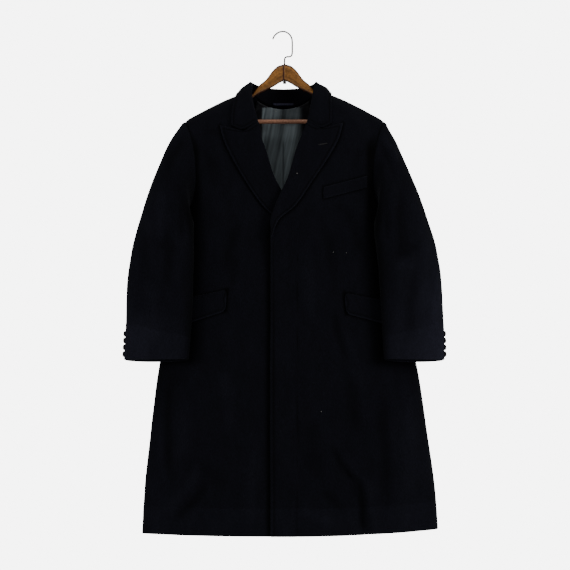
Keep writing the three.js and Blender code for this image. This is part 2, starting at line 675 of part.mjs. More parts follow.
// Points round a collar section, from the neck seam up the stand, over the fold and down the fall: the face
// that shows, or with `hidden` the one between stand and fall.
function collarSection(at, side, hidden) {
  const row = collarAt(at);
  const lean = radians(row.lean);
  const out = new THREE.Vector3(side * Math.sin(lean), Math.cos(lean), 0);
  const fold = new THREE.Vector3(row.mid + side * row.foldX, row.foldY, row.foldZ);
  const seam = neckSeam(row.seam, side);
  const layer = row.seam <= 1 ? "back" : side > 0 ? "over" : "under";
  const normal = surfaceNormal(seam.x, seam.z, layer);
  const [ahead, behind] = [Math.min(2, row.seam + 0.02), Math.max(0, row.seam - 0.02)];
  const along = neckSeam(ahead, side).sub(neckSeam(behind, side)).normalize();
  const toNeck = along.cross(normal).normalize().multiplyScalar(side);
  const depth = hidden ? COLLAR_CLOTH : 0;
  const start = seam.clone().addScaledVector(toNeck, 1.5).addScaledVector(normal, depth - CLOTH);
  const stand = fold.clone().sub(seam);
  const up = stand.clone().addScaledVector(out, -stand.dot(out)).normalize();
  const near = (o, u) => fold.clone().addScaledVector(out, o).addScaledVector(up, u);
  const wide = side < 0 ? row.more : 0;
  const over = roundShoulder(row.mid + side * (row.overX + wide * 0.6), row.overTurn, side, COLLAR_CLOTH + 4 - depth);
  const edge = roundShoulder(row.mid + side * (row.edgeX + wide), row.edgeTurn, side, COLLAR_CLOTH + 1.4 - depth);
  const bend = hidden ? [near(-0.5, -6), near(0.4, -4.2), near(1.3, -6)] : [near(-4.5, -5), fold, near(5.3, -5)];
  return [start, start.clone().lerp(bend[0], 0.5), ...bend, over, edge];
}

function collar() {
  const grid = (hidden) => {
    const rows = [];
    for (let k = -16; k <= 16; k++) {
      const at = (Math.abs(k) / 16) * (COLLAR.length - 1);
      const section = collarSection(at, k < 0 ? -1 : 1, hidden);
      const curve = new THREE.CatmullRomCurve3(section, false, "centripetal");
      rows.push(steps(12).map((v) => curve.getPoint(v)));
    }
    return rows;
  };
  return slab(grid(false), grid(true));
}

// Loop of cloth across the inside of the collar's stand.
function hangLoop() {
  const grid = (height) =>
    steps(9).map((u) => {
      const at = mix(-0.66, 0.66, u);
      const curve = new THREE.CatmullRomCurve3(collarSection(Math.abs(at), at < 0 ? -1 : 1, false));
      const lift = height * (0.35 + 0.65 * Math.sin(Math.PI * u));
      return [0.03, 0.075].map((v) => {
        const p = curve.getPointAt(v);
        p.y -= 0.6 + lift;
        return p;
      });
    });
  return slab(grid(1.6), grid(0));
}

// ---- What lies on the fronts ----
// Patch on the coat between four corners (each { x, z }: inner low, outer low, outer high, inner high).
function patch(corners, layer, size, lift, thickness) {
  const [rows, columns] = size;
  const place = (u, v, height) => {
    const at = (k) => mix(mix(corners[0][k], corners[1][k], u), mix(corners[3][k], corners[2][k], u), v);
    return raised(at("x"), at("z"), layer, height);
  };
  const grid = (height) => steps(rows).map((v) => steps(columns).map((u) => place(u, v, height)));
  return slab(grid(lift + thickness), grid(lift));
}

// ---- Lining of the back, as far down as it shows ----
function lining() {
  const layers = [CLOTH + 0.8, CLOTH + 0.8 + LINING_CLOTH];
  const [outer, inner] = layers.map((depth) =>
    steps(9).map((v) => {
      const half = mix(LINING.halfLow, LINING.halfHigh, v ** 0.7);
      return steps(13).map((u) => {
        const x = bodyAt(NAPE_Z).closure + mix(-half, half, u);
        const top = napeAt(clamp(Math.abs(mix(-1, 1, u) * LINING.halfHigh) / NECK_POINT.x, 0, 1), 1).z - 2.5;
        const pleat = LINING.pleat * Math.exp(-(((x - LINING.pleatX) / 6) ** 2)) * (1 - 0.6 * v);
        const inset = 4 * (2 * u - 1) ** 2 * v ** 4;
        return raised(x, mix(LINING.bottom, top, v), "back", -depth - pleat - inset);
      });
    }),
  );
  return slab(outer, inner);
}

// ---- Hanger ----
// One arm: rounded bar sections along x, cut for the hook's stem and the trouser bar.
function hangerArm(side) {
  const stations = [0.3, 8, 16, 24, 32, 41, 50, 60, 69, 76, 83, 90, 110, 135, 160, 185, 203, 215, 221];
  const rings = stations.map((x) => {
    const { top, bottom, thick } = armAt(x);
    const end = x > 205 ? Math.sqrt(1 - ((x - 205) / 17.6) ** 2) : 1;
    const [middle, halfHeight] = [(top + bottom) / 2, ((top - bottom) / 2) * end];
    const halfThick = (thick / 2) * (0.35 + 0.65 * end);
    return Array.from({ length: 12 }, (_, i) => {
      const a = ((i + 0.5) / 12) * 2 * Math.PI;
      const squared = (v) => Math.sign(v) * Math.abs(v) ** 0.62;
      const y = halfThick * squared(Math.cos(a));
      return new THREE.Vector3(side * x, y, middle + halfHeight * squared(Math.sin(a)));
    });
  });
  const stem = new THREE.CylinderGeometry(WIRE + 0.35, WIRE + 0.35, 80, 12).rotateX(Math.PI / 2);
  stem.translate(0, 0, -100);
  const seat = new THREE.CylinderGeometry(NUT.radius + 0.4, NUT.radius + 0.4, 20, 12).rotateX(Math.PI / 2);
  seat.translate(0, 0, NUT.top + 0.3 - 10);
  const socketLength = BAR.socketEnd - BAR.socketStart;
  const socket = new THREE.CylinderGeometry(BAR.radius + 0.4, BAR.radius + 0.4, socketLength, 16);
  socket.rotateZ(Math.PI / 2).translate(side * (BAR.socketStart + socketLength / 2), 0, BAR.z);
  let arm = toManifold(loft(rings));
  for (const cutter of [stem, seat, socket]) arm = arm.subtract(toManifold(cutter));
  return fromManifold(arm);
}

function hook() {
  const path = new THREE.CatmullRomCurve3(
    HOOK.map(({ x, z }) => new THREE.Vector3(x, 0, z)),
    false,
    "centripetal",
  );
  const rings = steps(36).map((v) => {
    const [p, t] = [path.getPointAt(v), path.getTangentAt(v)];
    const sideways = new THREE.Vector3(t.z, 0, -t.x);
    return Array.from({ length: 8 }, (_, i) => {
      const a = (i / 8) * 2 * Math.PI;
      const offset = new THREE.Vector3(0, WIRE * Math.sin(a), 0).addScaledVector(sideways, WIRE * Math.cos(a));
      return p.clone().add(offset);
    });
  });
  return loft(rings);
}

// ---- The coat ----
const WOOL = new THREE.MeshStandardMaterial({ color: 0x0b0b0e, roughness: 0.95, metalness: 0 });
const SATIN = new THREE.MeshStandardMaterial({ color: 0x33383a, roughness: 0.55, metalness: 0 });
const HORN = new THREE.MeshStandardMaterial({ color: 0x151312, roughness: 0.35, metalness: 0 });
const WOOD = new THREE.MeshStandardMaterial({ color: 0x6b4020, roughness: 0.45, metalness: 0 });
const DOWEL = new THREE.MeshStandardMaterial({ color: 0x6b3f2c, roughness: 0.5, metalness: 0 });
const STEEL = new THREE.MeshStandardMaterial({ color: 0xb9aa96, roughness: 0.3, metalness: 0.9 });

const root = new THREE.Group();
const hung = new THREE.Group();
hung.position.x = STEM_X;
root.add(hung);

function add(name, geometry, material) {
  const mesh = new THREE.Mesh(geometry, material);
  mesh.name = name;
  hung.add(mesh);
  return mesh;
}

add("front_over", panel("over", 1), WOOL);
add("front_under", panel("under", -1), WOOL);
add("back_over", panel("back", 1), WOOL);
add("back_under", panel("back", -1), WOOL);
for (const [suffix, side] of [
  ["over", 1],
  ["under", -1],
]) {
  add("top_sleeve_" + suffix, sleevePiece("top", side), WOOL);
  add("under_sleeve_" + suffix, sleevePiece("under", side), WOOL);
  add("lapel_" + suffix, lapel(suffix), WOOL);
  add("pocket_flap_" + suffix, patch(FLAP[suffix], suffix, [4, 8], 0.8, CLOTH), WOOL);
  for (let i = 0; i < BUTTON.count; i++) {
    const button = new THREE.CylinderGeometry(BUTTON.radius, BUTTON.radius, BUTTON.thick, 16);
    const t = BUTTON.first + i * BUTTON.pitch;
    const seat = sleevePoint(t, BUTTON.angle, side);
    const { normal } = sleeveNormal(t, BUTTON.angle, side);
    const mesh = add("cuff_button_" + suffix + "_" + (i + 1), button, HORN);
    mesh.quaternion.setFromUnitVectors(new THREE.Vector3(0, 1, 0), normal);
    mesh.position.copy(seat).addScaledVector(normal, BUTTON.thick / 2 + BUTTON.stand);
  }
}
add("collar", collar(), WOOL);
add("hang_loop", hangLoop(), WOOL);
add("chest_welt", patch(WELT, "over", [3, 6], 0.8, CLOTH), WOOL);
add("back_lining", lining(), SATIN);
add("hanger_arm_over", hangerArm(1), WOOD);
add("hanger_arm_under", hangerArm(-1), WOOD);
const bar = new THREE.CylinderGeometry(BAR.radius, BAR.radius, 2 * BAR.end, 16).rotateZ(Math.PI / 2);
add("hanger_bar", bar.translate(0, 0, BAR.z), DOWEL);
add("hanger_hook", hook(), STEEL);
const nut = new THREE.CylinderGeometry(NUT.radius, NUT.radius, NUT.top - NUT.bottom, 12).rotateX(Math.PI / 2);
nut.translate(0, 0, (NUT.top + NUT.bottom) / 2);
const bore = new THREE.CylinderGeometry(WIRE + 0.3, WIRE + 0.3, 20, 12).rotateX(Math.PI / 2);
bore.translate(0, 0, NUT.top);
add("hook_nut", fromManifold(toManifold(nut).subtract(toManifold(bore))), STEEL);

export default root;
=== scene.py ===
"""A man's long black wool overcoat, closed, on a wooden suit hanger with a trouser bar.

Lengths in the tables are millimetres, +Z up, measured from the hook's stem; `to_metres` brings them to the
frame of the part, whose origin is the underside of the hook's bend. The coat's front faces -Y. "over" is the
front that laps on top (+X side), "under" the one beneath it.
"""

import bpy
import numpy as np
from bpy.props import FloatProperty, FloatVectorProperty, PointerProperty
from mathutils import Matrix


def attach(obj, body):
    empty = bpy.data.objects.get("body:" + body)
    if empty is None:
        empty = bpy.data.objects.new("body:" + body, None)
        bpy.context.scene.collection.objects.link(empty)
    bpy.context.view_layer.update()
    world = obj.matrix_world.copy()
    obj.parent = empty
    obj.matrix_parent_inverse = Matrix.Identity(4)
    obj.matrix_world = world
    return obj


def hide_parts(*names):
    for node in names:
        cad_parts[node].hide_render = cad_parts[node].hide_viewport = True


bl_info = {
    "name": "Wool overcoat on a hanger",
    "version": (1, 0, 0),
    "blender": (4, 5, 0),
    "location": "3D View > Sidebar > Overcoat",
    "description": "Builds a long wool overcoat with peak lapels on a wooden hanger, piece by piece",
    "category": "Add Mesh",
}

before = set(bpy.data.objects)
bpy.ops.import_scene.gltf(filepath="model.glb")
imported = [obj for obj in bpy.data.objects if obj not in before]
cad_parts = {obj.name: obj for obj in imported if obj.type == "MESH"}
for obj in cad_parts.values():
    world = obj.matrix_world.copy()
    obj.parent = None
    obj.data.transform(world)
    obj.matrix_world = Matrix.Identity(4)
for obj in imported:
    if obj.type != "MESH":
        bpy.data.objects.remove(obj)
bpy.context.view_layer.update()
BODY_NAME = "root"

# ---- Sizes the pieces share ----
CLOTH = 3.0  # wall of the coat: wool with its lining
SEAM_GAP = 0.3
COLLAR_CLOTH = 4.0
LINING_CLOTH = 1.2
STEM_X = 5.0
NAPE_Z = -188.0
NECK_X, NECK_Z = 84.0, -147.5
TIP_X, TIP_Z = 250.0, -225.0
ARMPIT_Z = -465.0
HEM_Z = -1260.0
SHOULDER_ROUND = 100.0
SQUARENESS = 2.4
VENT_TOP_Z = -800.0
VENT_LAP = 34.0
HEM_TURN = 68.0  # depth of the turned-up hem, whose thickness shows
CUFF_TURN = 0.905  # share of the sleeve where its turned-up end starts
SWELL_INSET = 6.5  # of the stitching along free edges
UNDER_ROLL = 9.5  # how much further out than its edge the under front rolls
NAPE_SHARE = 5 / 12  # of a back's top edge
FLY_X = 32.0
FLY_FOOT_Z, FLY_TOP_Z = -1250, -560
ROLL_COLUMNS = 18
ROLL_RADIUS, ROLL_LIFT = 5.5, 2.5
TURNED_GAP = 1.4  # under the edges of what is turned down on the coat
PATCH_GAP = 0.8
SLEEVE_LENGTH = 600  # along which its creases are placed
SLEEVE_ROUND = 1.25  # millimetres of a sleeve's round for each degree
SEAM_VALLEY = 2.4
# Painted shadow bands beside what lies on a front: share, width where it is whole, width of its fading.
LAPEL_SHADOW_BAND = (0.8, 1.5, 4.2)
PATCH_SHADOW_BAND = (0.8, 1.3, 2.8)
FLAP_END_SHADOW_BAND = (1.0, 2.4, 3.2)


def table(columns, rows):
    """Named columns of a table whose first column is its key, sorted by that key."""
    data = np.array(sorted(rows), float)
    return {name: data[:, i] for i, name in enumerate(columns.split())}


def read(tab, value):
    """Smooth curve through a table's rows: cubic Hermite whose slope at a row is the harmonic mean of the
    chords on both sides, or 0 where they turn, and at an end the last chord."""
    names = list(tab)
    key = tab[names[0]]
    v = np.clip(np.asarray(value, float), key[0], key[-1])
    i = np.clip(np.searchsorted(key, v, side="right") - 1, 0, len(key) - 2)
    span = np.diff(key)
    t = (v - key[i]) / span[i]
    out = {}
    for name in names[1:]:
        y = tab[name]
        chord = np.diff(y) / span
        before, after = chord[:-1], chord[1:]
        total = np.where(before * after > 0, before + after, 1.0)
        inside = np.where(before * after > 0, 2 * before * after / total, 0.0)
        slope = np.concatenate([[chord[0]], inside, [chord[-1]]])
        m0, m1 = slope[i] * span[i], slope[i + 1] * span[i]
        out[name] = (
            (2 * t**3 - 3 * t**2 + 1) * y[i]
            + (t**3 - 2 * t**2 + t) * m0
            + (-2 * t**3 + 3 * t**2) * y[i + 1]
            + (t**3 - t**2) * m1
        )
    return out


# Body levels: x of the oval's middle and of the closure, half width, depths in front of and behind the
# hanger.
BODY = table("z middle closure half front back", [
    (-1270, 14, 0, 371, 60, 46),
    (-1165, 12.5, 0, 365, 61, 46),
    (-1005, 10, -1, 346, 62, 45),
    (-845, 8, -1, 324, 64, 45),
    (-720, 4, 0, 294, 66, 44),
    (-600, 1, 0, 268, 70, 45),
    (-465, 0, -1, 255, 74, 49),
    (-345, 0, -4, 267, 74, 50),
    (-225, 0, -5, 290, 72, 50),
    (-188, 0, -4, 292, 71, 50),
    (-140, 0, -0.5, 292, 70, 50),
])
# Shoulder line: height of the seam by distance from the middle.
RIDGE = table("x z", [
    (0, -138), (60, -141), (84, -147.5), (105, -153), (140, -166), (187, -188.5), (215, -203), (240, -217),
    (250, -225), (300, -262),
])
# Armhole: distance of the seam from the middle, on the front and on the back.
ARMHOLE = table("z front back", [
    (-465, 255, 255), (-457, 247, 249), (-440, 237, 241), (-410, 226, 234), (-370, 221, 231),
    (-325, 222, 232), (-285, 228, 236), (-250, 237, 242), (-232, 245, 247), (-225, 250, 250),
])
# Inner edge of a front: distance from the closure, towards its own side.
INNER_EDGE = table("z x", [
    (-1270, -34), (-510, -34), (-482, -31), (-432, -15), (-396, 2), (-352, 22), (-297, 38), (-257, 54),
    (-226, 66), (-195, 72), (-170, 78), (-147.5, 84),
])
# Lapels from foot to peak: height on the roll line, and the outer edge.
LAPEL = {
    "over": table("at roll_z edge_x edge_z", [
        (0, -500, -33, -514), (1 / 7, -465, -16, -471), (0.27, -428, 26, -434), (0.45, -376, 70, -371),
        (0.65, -315, 109, -313), (0.84, -263, 135.5, -264), (1, -228, 145, -229),
    ]),
    "under": table("at roll_z edge_x edge_z", [
        (0, -500, 31, -514), (1 / 7, -465, 2, -484), (0.27, -428, -54, -434), (0.45, -376, -98, -371),
        (0.65, -315, -132, -312), (0.84, -263, -152, -268), (1, -228, -161, -235),
    ]),
}
NOTCH = {"over": (91.0, -242.5), "under": (-102.0, -249.0)}
# Collar sections from the nape to the gorge: place on the neck seam, middle, fold, lean of the fold in
# degrees, then a point of the fall and its edge by distance from the middle and angle round the shoulder.
COLLAR = table("at seam mid fold_x fold_y fold_z lean over_x over_turn edge_x edge_turn more", [
    (0, 0, -3, 0, 47, -141, 0, 0, 62, 0, 77, 0),
    (1, 0.45, -2, 38, 42, -139, 20, 43, 56, 48, 72, 0),
    (2, 0.8, -1, 70, 24, -131, 52, 80, 36, 90, 50, 0),
    (3, 1, 0, 84, 0, -127, 88, 102, 0, 114, 0, 3),
    (4, 1.3, -3, 78, -36, -148, 124, 100, -34, 119, -30, 2),
    (5, 1.65, -5, 68, -62, -188, 148, 97, -64, 121, -53, 4),
    (6, 2, -5, 60, -73.5, -226, 168, 96, -84.5, 121, -73.5, 6),
])
# Sleeve rings from armhole to cuff: x of both ends on each side, least x of the back half, heights and depths
# of both ends, and half the ring's thickness.
SLEEVE = table("at out_over out_under in_over in_under back out_z in_z out_y in_y thick", [
    (0, 251, 252, 255, 255, 255, -226, -465, -2, -2, 50),
    (0.06, 260, 267, 238, 240, 262, -241, -466, -6, -28, 51),
    (0.14, 277, 286, 223, 227, 264, -272, -474, -11, -50, 49),
    (0.25, 301, 310, 223, 226, 264, -325, -502, -17, -63, 45),
    (0.38, 328, 335, 228, 226, 262, -388, -542, -23, -71, 41),
    (0.52, 354, 359, 234, 227, 258, -460, -594, -29, -76, 37),
    (0.66, 381, 382, 238, 228, 250, -550, -650, -35, -79, 33),
    (0.8, 393, 394, 241, 231, 243, -640, -708, -41, -80, 29),
    (0.91, 397, 396, 244, 234, 240, -730, -764, -46, -80, 24),
    (1, 399, 400, 248, 239, 240, -818, -816, -50, -79, 20),
])
SLEEVE_SEAMS = {"hind_top": -75, "hind_cuff": -14, "fore_top": 120, "fore_cuff": 186}
# Large folds of the skirt: ridge (raise > 0) or trough from its top to its foot. face: -1 front, 1 back.
FOLDS = [
    # face, top x, top z, foot x, foot z, width, raise
    (-1, 122, -690, 170, -1262, 26, -7),
    (-1, 128, -990, 205, -1262, 15, -11),
    (-1, 265, -760, 292, -1262, 36, 9),
    (-1, -285, -800, -300, -1262, 22, -9),
    (-1, -190, -930, -245, -1262, 34, 7),
    (-1, -95, -880, -110, -1262, 38, -4),
    (1, 150, -700, 190, -1262, 42, 9),
    (1, -140, -720, -185, -1262, 42, 9),
    (1, 60, -860, 85, -1262, 28, -7),
    (1, -275, -860, -305, -1262, 30, -7),
]
# Creases given one by one, soft troughs and ridges. They fade out at both ends; bow is their sideways curve.
CREASES = [
    # face, x0, z0, x1, z1, bow, width, raise
    (-1, 118, -1030, 186, -1128, -9, 8, -4.2),
    (-1, 146, -1052, 214, -1140, -9, 13, 3.2),
    (-1, 183, -1098, 194, -1256, 5, 9, -4.4),
    (-1, 206, -1120, 222, -1262, 4, 13, 3.0),
    (-1, 121, -690, 170, -845, -8, 11, -3.4),
    (-1, 148, -735, 196, -900, -6, 15, 2.4),
    (-1, 160, -850, 176, -1010, 4, 16, -2.6),
    (-1, 236, -905, 252, -1190, 8, 17, -3.4),
    (-1, 300, -860, 318, -1080, 5, 14, 2.6),
    (-1, 60, -960, 84, -1130, -7, 24, -2.4),
    (-1, 40, -1180, 130, -1226, -10, 17, 2.4),
    (-1, 88, -1150, 150, -1204, 8, 13, -2.2),
    (-1, -286, -850, -288, -1130, -5, 12, -3.6),
    (-1, -262, -880, -262, -1100, 6, 15, 2.6),
    (-1, -302, -1196, -216, -1082, -11, 12, 3.8),
    (-1, -284, -1222, -196, -1124, -9, 13, -3.4),
    (-1, -236, -1060, -148, -1150, 8, 20, -2.2),
    (-1, -160, -840, -138, -1010, 6, 18, 2.0),
    (-1, -70, -1010, -88, -1240, -4, 15, 2.2),
    (-1, -122, -560, -140, -640, 4, 13, -1.8),
    (-1, -108, -470, -150, -600, -7, 16, -2.6),
    (-1, 96, -480, 122, -620, 6, 17, -2.4),
    (-1, 60, -560, 70, -720, -5, 18, 1.8),
    (-1, 150, -450, 190, -560, 6, 15, -2.0),
    (-1, 118, -430, 176, -470, 5, 12, -1.6),
    (-1, -196, -300, -172, -400, 7, 15, -2.2),
    (-1, -205, -250, -150, -262, 4, 12, -1.4),
    (-1, 196, -290, 176, -352, -6, 14, -1.8),
    (-1, 170, -205, 214, -262, 4, 13, 1.4),
    (-1, 30, -700, 66, -748, 6, 14, -1.4),
    (1, -30, -240, -110, -330, 8, 19, -2.6),
    (1, 34, -236, 118, -338, -8, 19, -2.4),
    (1, -60, -214, 54, -216, 7, 9, -2.0),
    (1, -120, -360, -176, -520, 7, 17, -3.0),
    (1, 132, -372, 176, -548, -6, 18, -3.2),
    (1, -24, -560, -70, -770, 5, 21, -2.6),
    (1, 60, -600, 92, -820, -7, 20, 2.8),
    (1, 150, -560, 196, -780, 8, 15, -3.4),
    (1, -190, -600, -232, -860, -6, 17, 3.0),
    (1, -96, -820, -130, -1090, 7, 14, -3.8),
    (1, 120, -900, 136, -1180, -5, 13, -3.6),
    (1, 226, -820, 258, -1120, 9, 16, -3.4),
    (1, 190, -1060, 292, -1170, -9, 14, 2.8),
    (1, -196, -980, -222, -1250, 5, 15, 3.2),
    (1, -270, -900, -250, -1060, 6, 12, -2.4),
]
# Creases of a sleeve: side, share of its length and angle at both ends, bow, width and raise.
SLEEVE_CREASES = [
    (1, 0.05, 40, 0.2, 46, 6, 10, 2.6),
    (1, 0.06, 58, 0.24, 70, 5, 11, -2.4),
    (1, 0.2, 112, 0.42, 128, -6, 14, -3.0),
    (1, 0.3, 74, 0.62, 96, 8, 16, -2.8),
    (1, 0.36, 48, 0.7, 60, -7, 18, 2.6),
    (1, 0.52, 112, 0.6, 62, 5, 12, -2.6),
    (1, 0.58, 124, 0.67, 82, -5, 13, 2.0),
    (1, 0.66, 84, 0.94, 96, 6, 15, -2.2),
    (1, 0.72, 42, 0.96, 52, -5, 14, 1.8),
    (1, 0.1, 290, 0.4, 262, 7, 16, -3.0),
    (1, 0.42, 300, 0.7, 276, -7, 15, -3.2),
    (1, 0.46, 236, 0.56, 288, 5, 12, -2.6),
    (1, 0.7, 250, 0.93, 262, 6, 14, 2.2),
    (-1, 0.06, 44, 0.25, 54, 6, 12, -2.2),
    (-1, 0.04, 26, 0.17, 34, -4, 10, 1.8),
    (-1, 0.2, 104, 0.44, 122, 6, 15, -2.8),
    (-1, 0.3, 66, 0.56, 82, -8, 18, 2.6),
    (-1, 0.42, 88, 0.74, 104, 7, 15, -3.0),
    (-1, 0.5, 118, 0.59, 70, -5, 12, -2.2),
    (-1, 0.55, 46, 0.8, 58, 6, 16, -2.4),
    (-1, 0.74, 78, 0.95, 88, -4, 14, 1.8),
    (-1, 0.12, 286, 0.36, 258, -7, 17, -3.0),
    (-1, 0.4, 296, 0.66, 270, 7, 15, -3.4),
    (-1, 0.5, 232, 0.58, 284, 4, 12, -2.2),
    (-1, 0.7, 244, 0.94, 266, -6, 15, 2.4),
]
# Hanger arm: heights of its edges and its thickness by distance from the middle.
ARM = table("x top bottom thick", [
    (0.3, -79.5, -121, 13), (16, -84, -129, 13), (29, -95, -137, 13), (47, -118.5, -146, 13.5),
    (63, -132, -153.5, 14), (75, -147.5, -160.5, 12), (83, -156.3, -167, 12), (95, -157.5, -174, 12.5),
    (110, -160, -182, 13), (140, -171, -198, 14), (175, -187.5, -217, 17), (205, -203, -235, 19),
    (222, -212.5, -238, 19),
])
BAR_Z, BAR_RADIUS, BAR_END = -223.5, 5.5, 204.0
WIRE = 2.0
# Middle line of the hook's wire from its tip: x, z from the stem.
HOOK = [
    (-29.5, -18), (-27.5, -12), (-22, -5.2), (-14, 0.2), (-5, 2), (4, 0.4), (12, -5.2), (17.5, -14),
    (19.2, -26), (19.2, -40), (19, -52), (17, -58.5), (12, -61), (5.5, -61.5), (1.2, -64), (0, -70),
    (0, -96), (0, -128),
]
NUT_TOP, NUT_BOTTOM, NUT_RADIUS = -122.5, -129.5, 5.0
BUTTON = {
    "radius": 7.5, "thick": 3.0, "hole": 1.5, "stand": 0.6,
    "count": 4, "first": 0.9356, "pitch": 0.0169, "angle": -4.0,
}
BUTTONHOLE = [(84.0, -283.0), (106.0, -279.5)]  # both ends
# Corners of what lies on the fronts: inner low, outer low, outer high, inner high.
FLAP = {
    "over": [(154, -704), (262, -732), (262, -674), (149, -652)],
    "under": [(-147, -697), (-260, -734), (-260, -670), (-144, -644)],
}
WELT = [(97, -417), (205, -388), (205, -361), (97, -389)]
LINING = {"bottom": -560.0, "low": 175.0, "high": 66.0, "pleat": 5.0, "pleat_x": -6.0}
# Inner line of each sleeve as it lies on the coat: distance from the middle by height.
SLEEVE_LINE = {
    1: table("z x", [
        (-818, 246), (-708, 240), (-594, 233), (-474, 222), (-400, 216), (-300, 214), (-235, 240),
    ]),
    -1: table("z x", [
        (-818, 240), (-708, 232), (-594, 228), (-474, 226), (-400, 223), (-300, 224), (-235, 242),
    ]),
}
# Specks of lint: place, what they lie on, height above it and length.
LINT = [
    (31, -355, "over", 9.0, 2.8),
    (121, -551, "over", 0.6, 1.7),
    (153.5, -552, "over", 0.6, 1.4),
    (92, -948, "over", 0.6, 2.2),
    (-22, -196, "back", -7.5, 8.0),
]
# The camera stands in front of the coat, in metres and with its film's width in millimetres.
FILM_WIDTH = 36
VIEW_DISTANCE, VIEW_WIDTH = 16.0, 1.425
VIEW_PLACE = (0.006, -16.02, -0.6325)
FLOOR_Z, FLOOR_REACH, FLOOR_BACK = -1.9, 12, 11
WORLD_DIM, WORLD_BRIGHT = 0.3, 6.5  # round about, and straight behind the coat
# Lamps: place in metres, turn in degrees, size in metres, power in watts.
LAMPS = [
    ("right_light", (3.3, -2.7, 0.6), (72, 0, 50), 1.6, 118),
    ("left_light", (-3.5, -2.5, 0.1), (80, 0, -55), 1.8, 60),
    ("back_light", (0.6, 4.2, 1.0), (-66, 0, 8), 2.6, 90),
    ("top_light", (-0.4, -1.6, 2.4), (32, 0, -10), 1.6, 34),
]


# ---- Small tools ----
def mix(a, b, t):
    """a where t is 0, b where t is 1."""
    return a + (b - a) * t


def smooth(t):
    """0 to 1 with flat ends: 3t^2 - 2t^3, held outside."""
    c = np.clip(t, 0, 1)
    return c * c * (3 - 2 * c)


def unit(v):
    """Vectors of length 1."""
    return v / np.maximum(np.linalg.norm(v, axis=-1, keepdims=True), 1e-9)


def stack(x, y, z):
    """Points from three arrays that broadcast."""
    return np.stack(np.broadcast_arrays(x, y, z), axis=-1).astype(float)


def edge_steps(count, near):
    """0 to 1 in even steps, with three closer ones at each end; near is the share they take."""
    start = near * np.array([0.0, 0.22, 0.55, 1.0])
    return np.concatenate([start, np.linspace(2 * near, 1 - 2 * near, count), 1 - start[::-1]])


def run_lengths(points, axis):
    """Distance walked along a grid from its first row or column to each point."""
    step = np.linalg.norm(np.diff(points, axis=axis), axis=-1)
    zero = np.zeros_like(np.take(step, [0], axis=axis))
    return np.concatenate([zero, np.cumsum(step, axis=axis)], axis=axis)


def edge_distances(points):
    """Distance of each grid point from the first column, last column, first row and last row."""
    across, along = run_lengths(points, 1), run_lengths(points, 0)
    return across, across[:, -1:] - across, along, along[-1:] - along


def catmull(points, shares):
    """Centripetal Catmull-Rom curve through points[..., k, :], at shares 0 to 1 of its segments."""
    points = np.asarray(points, float)
    first = 2 * points[..., :1, :] - points[..., 1:2, :]
    last = 2 * points[..., -1:, :] - points[..., -2:-1, :]
    p = np.concatenate([first, points, last], axis=-2)
    count = points.shape[-2]
    place = np.asarray(shares) * (count - 1)
    i = np.clip(np.floor(place).astype(int), 0, count - 2)
    t = (place - i)[:, None]
    p0, p1, p2, p3 = (p[..., i + k, :] for k in range(4))

    def knot(a, b):
        return np.maximum(np.linalg.norm(b - a, axis=-1, keepdims=True), 1e-6) ** 0.5

    d0, d1, d2 = knot(p0, p1), knot(p1, p2), knot(p2, p3)
    t1 = ((p1 - p0) / d0 - (p2 - p0) / (d0 + d1) + (p2 - p1) / d1) * d1
    t2 = ((p2 - p1) / d1 - (p3 - p1) / (d1 + d2) + (p3 - p2) / d2) * d1
    return (
        p1
        + t1 * t
        + (-3 * p1 + 3 * p2 - 2 * t1 - t2) * t**2
        + (2 * p1 - 2 * p2 + t1 + t2) * t**3
    )


def resample(points, pitch):
    """Points every pitch along a polyline, and their directions."""
    length = np.concatenate([[0], np.cumsum(np.linalg.norm(np.diff(points, axis=0), axis=1))])
    at = np.arange(pitch / 2, length[-1], pitch)
    place = np.stack([np.interp(at, length, points[:, k]) for k in range(3)], axis=1)
    ahead = np.stack([np.interp(at + 0.5, length, points[:, k]) for k in range(3)], axis=1)
    behind = np.stack([np.interp(at - 0.5, length, points[:, k]) for k in range(3)], axis=1)
    return place, unit(ahead - behind), at, length


def to_metres(points):
    """Millimetres from the stem to metres from the hook's bend."""
    return (np.asarray(points, float).reshape(-1, 3) + (STEM_X, 0, 0)) * 0.001


